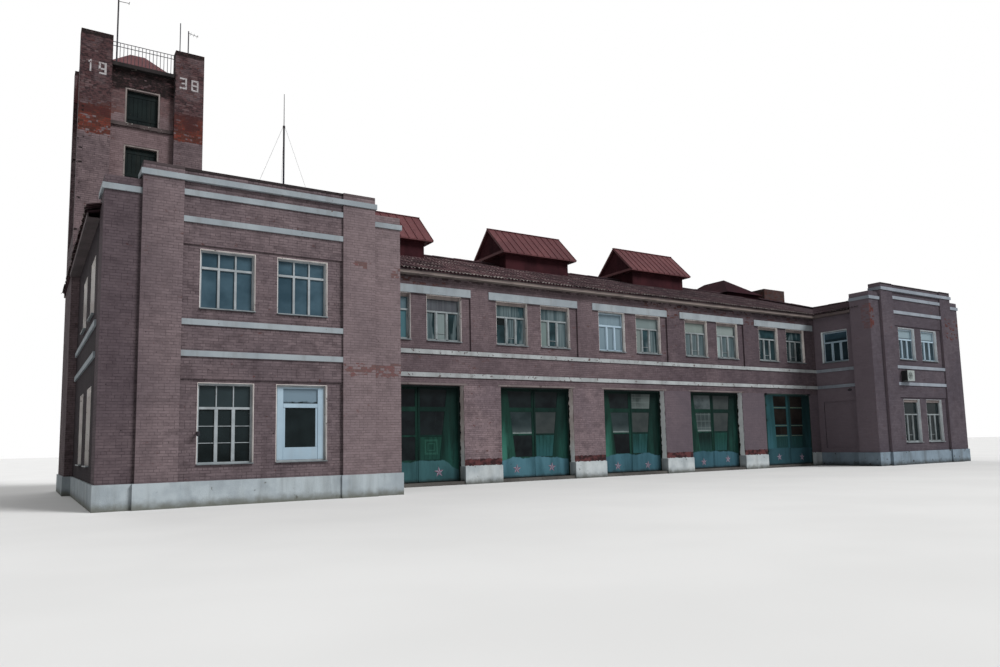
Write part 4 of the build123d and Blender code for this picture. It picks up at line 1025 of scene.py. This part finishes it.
board_pitch = 0.073
fall = (ridge_z - lantern_eave) / lantern_half
low = lantern_eave + 0.031
for cx in centres:
    for end in (-1, 1):
        face_x = cx + end * (lantern_len / 2 - 0.06)
        for i in range(-8, 8):
            y0, y1 = i * board_pitch + 0.002, (i + 1) * board_pitch - 0.002
            tops = [ridge_z - 0.052 - abs(y) * fall for y in (y0, y1)]
            if min(tops) >= low + 0.01:
                thick = 0.007 + 0.003 * rng.random()
                near, far = (
                    [(x, y0, low), (x, y1, low), (x, y1, tops[1]), (x, y0, tops[0])]
                    for x in (face_x, face_x + end * thick)
                )
                prism(*gables, near, far)
piece("lantern_gable_boards", *gables, lantern_red, "lantern_board")

# Windows: bars, jamb linings and the white plastic windows

wing_bars, plastic_bars, hall_bars, new_bars = [], [], [], []
stores = {"six": wing_bars, "grid": wing_bars, "plastic": plastic_bars, "hall": hall_bars, "new": new_bars}
linings, whitewashed, boards_over = [], [], []
reveal, lined = 0.065, 0.004  # depth of a window's reveal, thickness of its lining
ring, sash = 0.032, 0.014  # widths of the modelled frame and of a casement's stile


def wall_box(wall, u, out, z):
    """A box on a wall: u along it, out from the frame's front face, z upward."""
    axis, sign, face = wall
    a = tuple(face + sign * d for d in out)
    return (u, a, z) if axis == "y" else (a, u, z)


def window(wall, mid, size, style, lining=linings, split=(0.31, 0.66)):
    """Bars, sashes and linings of one window; size is (sill, width, height)."""
    z0, width, height = size
    x0, x1, z1 = mid - width / 2, mid + width / 2, z0 + height
    x_low, x_high, z_low, z_high = x0 + ring, x1 - ring, z0 + ring, z1 - ring
    wide = x_high - x_low
    thin = (-0.019, -0.006)

    def bar(left, right, low, high, depth=(-0.019, 0.004)):
        stores[style].append(wall_box(wall, (left, right), depth, (low, high)))

    def post(middle, half, *rest):
        bar(middle - half, middle + half, *rest)

    def rail(left, right, middle, half, *rest):
        bar(left, right, middle - half, middle + half, *rest)

    if style == "six":
        transom, half = z1 - 0.3 * height, 0.016
        rail(x_low, x_high, transom, half)
        for k in (1, 2):
            post(x_low + wide / 3 * k, half, z_low, transom - half)
            post(x_low + wide / 3 * k, 0.011, transom + half, z_high)
    elif style == "grid":
        transom, half, post_half = z1 - 0.31 * height, 0.016, 0.022
        rail(x_low, x_high, transom, half)
        for k in (1, 2):
            post(x_low + wide / 3 * k, 0.008, transom + half, z_high, thin)
            post(x_low + wide / 3 * k, post_half, z_low, transom - half)
        for k in range(3):
            left = x_low + wide / 3 * k + (post_half if k else 0)
            right = x_low + wide / 3 * (k + 1) - (post_half if k < 2 else 0)
            for part_up in (0.36, 0.68):
                rail(left, right, z_low + (transom - half - z_low) * part_up, 0.005, thin)
    elif style == "plastic":
        left, right = x_low + 0.085, x_high - 0.085
        foot, top = z0 + 0.19 * height, z1 - 0.27 * height
        bar(x_low, left, z_low, z_high)
        bar(right, x_high, z_low, z_high)
        bar(left, right, z_low, foot, (-0.019, 0.0))
        rail(left, right, top, 0.03)
        bar(left, right, z_high - 0.02, z_high)
        bar(left, left + 0.03, foot, top - 0.03, (-0.019, -0.004))
        bar(right - 0.03, right, foot, top - 0.03, (-0.019, -0.004))
    else:
        half = 0.02 if style == "new" else 0.016
        transom = z1 - 0.35 * height
        rail(x_low, x_high, transom, half)
        a, b = (x_low + wide * part for part in split)
        for middle in (a, b):
            post(middle, half, z_low, transom - half)
        for left, right in ((x_low, a - half), (a + half, b - half), (b + half, x_high)):
            bar(left, left + sash, z_low, transom - half, thin)
            bar(right - sash, right, z_low, transom - half, thin)
        bar(x_low, x_high, z_low, z_low + 0.018)
        if style == "new":
            bar(x_low, x_high, z_high - 0.02, z_high)
            bar(x_low, x_low + 0.02, transom + half, z_high - 0.02)
            bar(x_high - 0.02, x_high, transom + half, z_high - 0.02)
        else:
            rail(a + half, b - half, z_low + (transom - z_low) * 0.24, 0.005, thin)
            board = wall_box(wall, (x0 + lined, x1 - lined), (0.004, 0.012), (z1 - 0.07, z1 - lined))
            boards_over.append(board)
    for reach, heights in (
        ((x0, x0 + lined), (z0 + 0.013, z1)),
        ((x1 - lined, x1), (z0 + 0.013, z1)),
        ((x0 + lined, x1 - lined), (z1 - lined, z1)),
    ):
        lining.append(wall_box(wall, reach, (0.0005, reveal - 0.001), heights))


def plain_windows(wall, mids):
    """The old windows of both storeys."""
    for mid in mids:
        window(wall, mid, lower, "grid")
        window(wall, mid, upper, "six")


wing_axis, wing_pair = 8.2185, 0.5125
wing_x = [wing_axis - wing_pair, wing_axis + wing_pair]
lower, upper, hall_size = (0.53, 0.725, 1.072), (2.58, 0.725, 0.81), (2.595, 0.72, 0.855)

# Walls as wall_box takes them: the axis they face along, which way, and where the window frames'
# front faces stand

wing_wall, hall_wall, rear_wall = ("y", -1, -3.98), ("y", -1, -2.305), ("y", 1, 2.335)
left_end, right_end = ("x", -1, -10.185), ("x", 1, 10.185)
left_return, right_return = ("x", 1, -6.385), ("x", -1, 6.385)
return_mid = -2.965
for x, low_style in ((-wing_x[1], "grid"), (-wing_x[0], "plastic")):
    window(wing_wall, x, upper, "six")
    window(wing_wall, x, lower, low_style)
for x in wing_x:
    window(wing_wall, x, upper, "new", whitewashed)
    window(wing_wall, x, lower, "hall", whitewashed)
for i, cx in enumerate(centres_x):
    for s, split in ((-1, (0.36, 0.68)), (1, (0.3, 0.63))):
        style = "new" if i == 2 and s < 0 else "hall"
        window(hall_wall, cx + s * 0.52, hall_size, style, split=split)
rear_mids = [cx + s * 0.52 for cx in centres_x for s in (-1, 1)] + wing_x + [wing_pair * 2.2 - wing_axis]
plain_windows(rear_wall, rear_mids)
plain_windows(left_end, (-2.7, -1.25))
plain_windows(right_end, (-2.7, -1.25, 0.2, 1.65))
window(left_return, return_mid, upper, "six")
window(right_return, return_mid, upper, "new", whitewashed)
boxes("wing_window_bars", wing_bars, window_white, "window_wood", bevel=0.002)
boxes("hall_window_bars", hall_bars, hall_white, "window_wood", bevel=0.002)
boxes("plastic_window", plastic_bars, plastic_white, "window_wood", bevel=0.004)
boxes("new_window_bars", new_bars, plastic_white, "window_wood", bevel=0.003)
boxes("window_reveals", linings, reveal_grey, "white_band")
boxes("whitewashed_reveals", whitewashed, reveal_white, "white_band")
boxes("window_head_boards", boards_over, head_board, "window_wood", bevel=0.001)

# Gates: panes, boards, rims, stars and the steel angles over them

# Fields of a leaf from its foot up, and the widths of its hung stile at the foot and at the head
# and of its free stile. A field is filled with a pane, by its name, or with boards, by their paint.

leaf_fields = ((0.455, 0.88), (0.9, 1.335), (1.407, 1.734))
last_fields = ((0.47, 0.75), (0.785, 1.0), (1.035, 1.44), (1.475, 1.744))
leaf_stiles = (0.38, 0.22, 0.038)
last_stiles = (0.32, 0.265, 0.07)
old_fill = ("dark", "foot", "dark")
last_fill = (board_last, "brown", "brown", "brown")
fills = {
    (1, -1): ("dark", "dark", "dark"),
    (1, 1): (board_marked, "dark", "dark"),
    (2, -1): old_fill,
    (2, 1): (board_teal, "grey", "dark"),
    (3, -1): old_fill,
    (3, 1): (board_teal, "grey", "muntin"),
    (4, -1): (board_dark, "barred", "pale"),
    (4, 1): (board_green, "grey", "grey"),
    (5, -1): last_fill,
    (5, 1): last_fill,
}

# Where the stars that the photograph shows stand in its picture, by gate and side

star_spots = {
    (1, 1): (439, 472),
    (2, -1): (517, 469),
    (2, 1): (552, 467),
    (3, -1): (618, 466),
    (3, 1): (648, 465),
    (4, -1): (704, 462),
    (4, 1): (728, 459),
    (5, -1): (779.5, 457),
    (5, 1): (802, 457),
}
star_radius = 0.098


def quad_plates(name, outlines, y0, y1, material, slot, body, bevel=0.0):
    """Flat plates between two depths, each from a four-cornered (x, z) outline."""
    verts, faces = [], []
    for outline in outlines:
        prism(verts, faces, *([(x, y, z) for x, z in outline] for y in (y0, y1)))
    mesh = piece(name, verts, faces, material, slot, body, bevel=bevel).data
    bm = bmesh.new()
    bm.from_mesh(mesh)
    bmesh.ops.recalc_face_normals(bm, faces=bm.faces)
    bm.to_mesh(mesh)
    bm.free()


def star(name, cx, cz, y, turn, body):
    """A five-pointed star of ten raised facets, painted light and dark in turn."""
    verts = [(cx, y - 0.006, cz)]
    for k in range(10):
        r = star_radius * (0.4 if k % 2 else 1)
        t = math.pi / 2 + math.pi * k / 5 + turn
        verts.append((cx + r * math.cos(t), y, cz + r * math.sin(t)))
    faces = [(0, 1 + (k + 1) % 10, 1 + k) for k in range(10)]
    obj = piece(name, verts, faces, [star_red, star_white], "gate_paint", body)
    for k, face in enumerate(obj.data.polygons):
        face.material_index = k % 2


rim = 0.006
board_count = 5
leaf_foot, leaf_top = 0.075, 1.76
leaf_y, last_leaf_y = -2.225, -2.4  # front faces; the last gate stands further out
for number in range(1, 6):
    last = number == 5
    fields = last_fields if last else leaf_fields
    foot, head, inner = last_stiles if last else leaf_stiles
    y = last_leaf_y if last else leaf_y
    pane_y = y + 0.009
    bottom_z, top_z = fields[0][0], fields[-1][1]
    for side, word in sides:
        body_name = f"gate_{number}_{word}_leaf"
        paint = gate_paints[body_name]
        hung = hung_edge(number, side)
        free = hung - side * leaf_wide
        inner_x = free + side * inner
        c = inner_x + side * rim

        def slanted(z):
            part_up = (z - bottom_z) / (top_z - bottom_z)
            return hung - side * (foot + (head - foot) * part_up)

        rims = []
        for k, (z0, z1) in enumerate(fields):
            fill = fills[number, side][k]
            a0, a1 = slanted(z0), slanted(z1)
            b0, b1 = a0 - side * rim, a1 - side * rim
            inside = ((c, z0 + rim), (b0, z0 + rim), (b1, z1 - rim), (c, z1 - rim))
            rims += [
                ((a0, z0), (b0, z0), (b1, z1), (a1, z1)),
                ((inner_x, z0), (c, z0), (c, z1), (inner_x, z1)),
                ((c, z0), (b0, z0), (b0, z0 + rim), (c, z0 + rim)),
                ((c, z1 - rim), (b1, z1 - rim), (b1, z1), (c, z1)),
            ]
            if isinstance(fill, str):
                quad_plates(
                    f"{body_name}_pane_{k}", [inside], pane_y - 0.002, pane_y, panes[fill],
                    "window_glass", body_name,
                )
            else:
                plates = []
                for j in range(board_count):
                    u0, u1 = (j + 0.02) / board_count, (j + 0.98) / board_count
                    ends = ((b0, z0 + rim, u0), (b0, z0 + rim, u1), (b1, z1 - rim, u1), (b1, z1 - rim, u0))
                    plates.append([(c + (edge - c) * u, z) for edge, z, u in ends])
                quad_plates(
                    body_name + "_boards", plates, pane_y - 0.003, pane_y, fill, "gate_paint",
                    body_name, 0.0012,
                )
        quad_plates(body_name + "_rims", rims, y + 0.002, pane_y, paint, "gate_paint", body_name)
        trims = [
            ((free, free + side * 0.022), (y - 0.005, y), (leaf_foot, leaf_top)),
            ((hung, free), (y - 0.003, y), (leaf_foot, leaf_foot + 0.025)),
        ]
        boxes(body_name + "_trim", trims, paint, "gate_paint", body_name, 0.0015)
        if last:
            bars = [((inner_x, slanted(z0)), (y - 0.002, y), (z0 - 0.024, z0 - 0.01)) for z0, _ in fields[1:]]
            boxes(body_name + "_bars", bars, bar_yellow, "gate_paint", body_name, 0.001)
        if (number, side) in star_spots:
            px, py = star_spots[number, side]
            sight = ahead * focal + right * (px - middle_x) - up * (py - middle_y)
            spot = eye + sight * ((y - eye.y) / sight.y)
            star(body_name + "_star", spot.x, spot.z, y - 0.0012, rng.uniform(-0.2, 0.2), body_name)
        else:
            star(body_name + "_star", hung - side * 0.4, 0.24, y - 0.0012, 0.1, body_name)

middles = [cx + gate_shift for cx in centres_x[:4]]
angles = [((mid - 0.92, mid + 0.92), (-2.405, -2.399), (1.8, 1.834)) for mid in middles]
boxes("gate_lintel_angles", angles, lintel_steel, "gate_paint", bevel=0.001)

# Tower: shutter boards, jambs and numerals

tower_mid = sum(tower_x) / 2
shutter_sills = (5.68, 6.78)
boards, jambs = [], []


def shutter_box(low, high, depth, z0, z1):
    """A box in the tower's shutter openings, in x from the tower's middle."""
    return ((tower_mid + low, tower_mid + high), depth, (z0, z1))


for z in shutter_sills:
    for k in range(8):
        a = 0.075 * k - 0.3
        boards.append(shutter_box(a + 0.002, a + 0.073, (0.632, 0.64), z + 0.004, z + 0.696))
    for a in (0.12, 0.56):
        boards.append(shutter_box(-0.29, 0.29, (0.624, 0.632), z + a, z + a + 0.06))
    for low, high, foot in ((-0.3, -0.27, 0.001), (0.27, 0.3, 0.001), (-0.27, 0.27, 0.67)):
        jambs.append(shutter_box(low, high, (0.556, 0.622), z + foot, z + 0.7))
boxes("tower_shutter_boards", boards, shutter_green, "shutter_wood", bevel=0.002)
boxes("tower_shutter_jambs", jambs, head_board, "window_wood", bevel=0.003)

# Each figure's bars as parts of its width and height

digit_bars = {
    "1": ((0.42, 0.62, 0.0, 1.0), (0.25, 0.42, 0.74, 0.88)),
    "9": (
        (0.0, 0.27, 0.38, 1.0), (0.73, 1.0, 0.0, 1.0), (0.27, 0.73, 0.86, 1.0), (0.27, 0.73, 0.38, 0.52),
        (0.1, 0.73, 0.0, 0.14),
    ),
    "3": ((0.76, 1.0, 0.0, 1.0), (0.0, 0.76, 0.84, 1.0), (0.26, 0.76, 0.42, 0.58), (0.0, 0.76, 0.0, 0.16)),
    "8": (
        (0.0, 0.24, 0.0, 1.0), (0.76, 1.0, 0.0, 1.0), (0.24, 0.76, 0.84, 1.0), (0.24, 0.76, 0.42, 0.58),
        (0.24, 0.76, 0.0, 0.15),
    ),
}
numerals = []
digit_wide, digit_high = 0.13, 0.225
for digit, x, z in (("1", -10.213, 7.585), ("9", -10.016, 7.57), ("3", -8.64, 7.62), ("8", -8.43, 7.615)):
    left = x - digit_wide / 2
    for u0, u1, w0, w1 in digit_bars[digit]:
        wide = (left + u0 * digit_wide, left + u1 * digit_wide)
        high = (z + w0 * digit_high, z + w1 * digit_high)
        numerals.append((wide, (0.419, 0.4255), high))
boxes("tower_numerals", numerals, numeral_white, "white_band", bevel=0.002)

# Cooling unit: grille, fan ring and slats

lo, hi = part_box("cooling_unit")
slats = []
for k in range(9):
    z = lo.z + 0.02 + 0.025 * k
    slats.append(((lo.x - 0.002, lo.x + 0.001), (lo.y + 0.012, lo.y + 0.118), (z, z + 0.012)))
boxes("cooler_side_slats", slats, cooler_dark, "cooler_case", bevel=0.0008)
fan = Vector(((lo.x + hi.x) / 2 - 0.03, lo.y, (lo.z + hi.z) / 2))
grille = ([], [])


def on_fan(r, turn):
    return fan + Vector((r * math.cos(turn), 0, r * math.sin(turn)))


for ring in range(1, 6):
    for k in range(24):
        ends = [on_fan(0.018 * ring, 2 * math.pi * n / 24) for n in (k, k + 1)]
        add_beam(*grille, *ends, 0.003, 0.003, (0, -1, 0))
for k in range(8):
    add_beam(*grille, fan, on_fan(0.1, math.pi * k / 4), 0.003, 0.004, (0, -1, 0))
piece("cooler_grille", *grille, cooler_mid, "cooler_case")

# Antenna arms on the poles

pole_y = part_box("masts")[1].y - 0.014
arms = ([], [])
add_beam(*arms, (-9.78, pole_y, 9.14), (-9.6, pole_y, 9.15), 0.008, 0.008)
add_beam(*arms, (-9.6, pole_y - 0.05, 9.15), (-9.6, pole_y + 0.05, 9.15), 0.008, 0.008)
add_beam(*arms, (-8.54, pole_y, 8.86), (-8.36, pole_y, 8.83), 0.007, 0.007)
for k in range(3):
    x, z = -8.5 + 0.06 * k, 8.853 - 0.01 * k
    add_beam(*arms, (x, pole_y - 0.06, z), (x, pole_y + 0.06, z), 0.005, 0.005)
piece("antenna_arms", *arms, railing_grey, "railing_paint")

# Stepped mast with its guys, pipe stub, lamp and hinge caps

mast_mesh, mast_world = nodes["masts"].data, nodes["masts"].matrix_world
corners = [mast_world @ v.co for v in mast_mesh.vertices]
mast_foot = Vector((-7.43, -2.1, 0.0))


def is_near(spot):
    """Whether a place belongs to the mast on the hall's roof, which is built anew here."""
    return (spot.xy - mast_foot.xy).length < 0.2


verts, faces = [], []
for face in mast_mesh.polygons:
    if not is_near(mast_world @ face.center):
        n = len(verts)
        verts += [tuple(corners[i]) for i in face.vertices]
        faces.append(tuple(range(n, len(verts))))
heights = [c.z for c in corners if is_near(c)]
rings = (
    (min(heights), 0.016), (6.15, 0.016), (6.152, 0.021), (6.185, 0.021), (6.187, 0.007),
    (max(heights), 0.005),
)
first = len(verts)
for z, radius in rings:
    for k in range(8):
        turn = 2 * math.pi * k / 8
        verts.append((mast_foot.x + radius * math.cos(turn), mast_foot.y + radius * math.sin(turn), z))
last = len(verts) - 8
for start in range(first, last, 8):
    for k in range(8):
        a, b = start + k, start + (k + 1) % 8
        faces.append((a, b, b + 8, a + 8))
faces += [tuple(range(first + 7, first - 1, -1)), tuple(range(last, last + 8))]
piece("stepped_masts", verts, faces, railing_grey, "railing_paint", replaces=("masts",))

roof_points, roof_faces = [], []
for name in ("left_wing_roof", "main_roof"):
    first = len(roof_points)
    roof_points += [nodes[name].matrix_world @ v.co for v in nodes[name].data.vertices]
    roof_faces += [tuple(first + i for i in f.vertices) for f in nodes[name].data.polygons]
roof_tree = BVHTree.FromPolygons(roof_points, roof_faces)
guys = ([], [])
for dx, dy in ((-0.72, -0.2), (0.6, -0.42), (0.15, 0.8)):
    hit = roof_tree.ray_cast(Vector((mast_foot.x + dx, mast_foot.y + dy, 7.0)), Vector((0, 0, -1)))[0]
    add_beam(*guys, (mast_foot.x + dx * 0.02, mast_foot.y + dy * 0.02, 6.165), hit, 0.003, 0.003)
piece("mast_guys", *guys, railing_grey, "railing_paint")

stub = [
    ((-9.105, -9.075), (-4.13, -4.044), (0.93, 0.96)),
    ((-9.109, -9.071), (-4.15, -4.118), (0.9, 0.962)),
]
boxes("wall_pipe_stub", stub, railing_grey, "railing_paint", bevel=0.006)
lamp = [((6.13, 6.188), (-3.44, -3.39), (1.86, 1.885)), ((6.105, 6.165), (-3.455, -3.375), (1.83, 1.868))]
boxes("wall_lamp", lamp, railing_grey, "railing_paint", bevel=0.006)
caps = [((x - 0.022, x + 0.022), (-2.46, -2.402), (1.768, 1.812)) for x in (4.2595, 5.9125)]
boxes("hinge_caps", caps, railing_grey, "gate_paint", bevel=0.005)

# Floor, light and background

ground = bpy.data.meshes.new("ground")
far = 150
ground.from_pydata([(-far, -far, 0), (far, -far, 0), (far, far, 0), (-far, far, 0)], [], [(0, 1, 2, 3)])
ground_obj = bpy.data.objects.new("ground", ground)
bpy.context.collection.objects.link(ground_obj)
g = Graph("studio_floor", 0.9, 0.0, 0.1)
g.tone = g.mix(g.span(g.noise(0.6, 2), 0.3, 0.7), (0.66, 0.66, 0.655, 1), (0.69, 0.69, 0.685, 1))
ground.materials.append(g.finish())

for name, energy, spread, toward in (
    ("key_light", 3.05, 22, (0.55, -0.85, 0.82)),
    ("rear_fill", 1.1, 50, (0.12, 0.86, 0.5)),
):
    sun = bpy.data.lights.new(name, "SUN")
    sun.energy = energy
    sun.angle = math.radians(spread)
    sun_obj = bpy.data.objects.new(name, sun)
    bpy.context.collection.objects.link(sun_obj)
    sun_obj.rotation_euler = Vector(toward).normalized().to_track_quat("Z", "Y").to_euler()

# The background is white to the camera and to mirrors, and darker as a light.

world = bpy.data.worlds.new("studio")
world.use_nodes = True
bpy.context.scene.world = world
tree = world.node_tree
tree.nodes.clear()
path = tree.nodes.new("ShaderNodeLightPath")
seen = path.outputs["Is Camera Ray"]
for kind in ("Is Glossy Ray", "Is Transmission Ray"):
    either = tree.nodes.new("ShaderNodeMath")
    either.operation = "MAXIMUM"
    tree.links.new(seen, either.inputs[0])
    tree.links.new(path.outputs[kind], either.inputs[1])
    seen = either.outputs[0]
level = tree.nodes.new("ShaderNodeMapRange")
level.inputs["To Min"].default_value = 0.42
level.inputs["To Max"].default_value = 1.0
shade = tree.nodes.new("ShaderNodeBackground")
shade.inputs["Color"].default_value = (1, 1, 1, 1)
out = tree.nodes.new("ShaderNodeOutputWorld")
tree.links.new(seen, level.inputs[0])
tree.links.new(level.outputs[0], shade.inputs["Strength"])
tree.links.new(shade.outputs[0], out.inputs[0])

bpy.context.scene.view_settings.view_transform = "Standard"
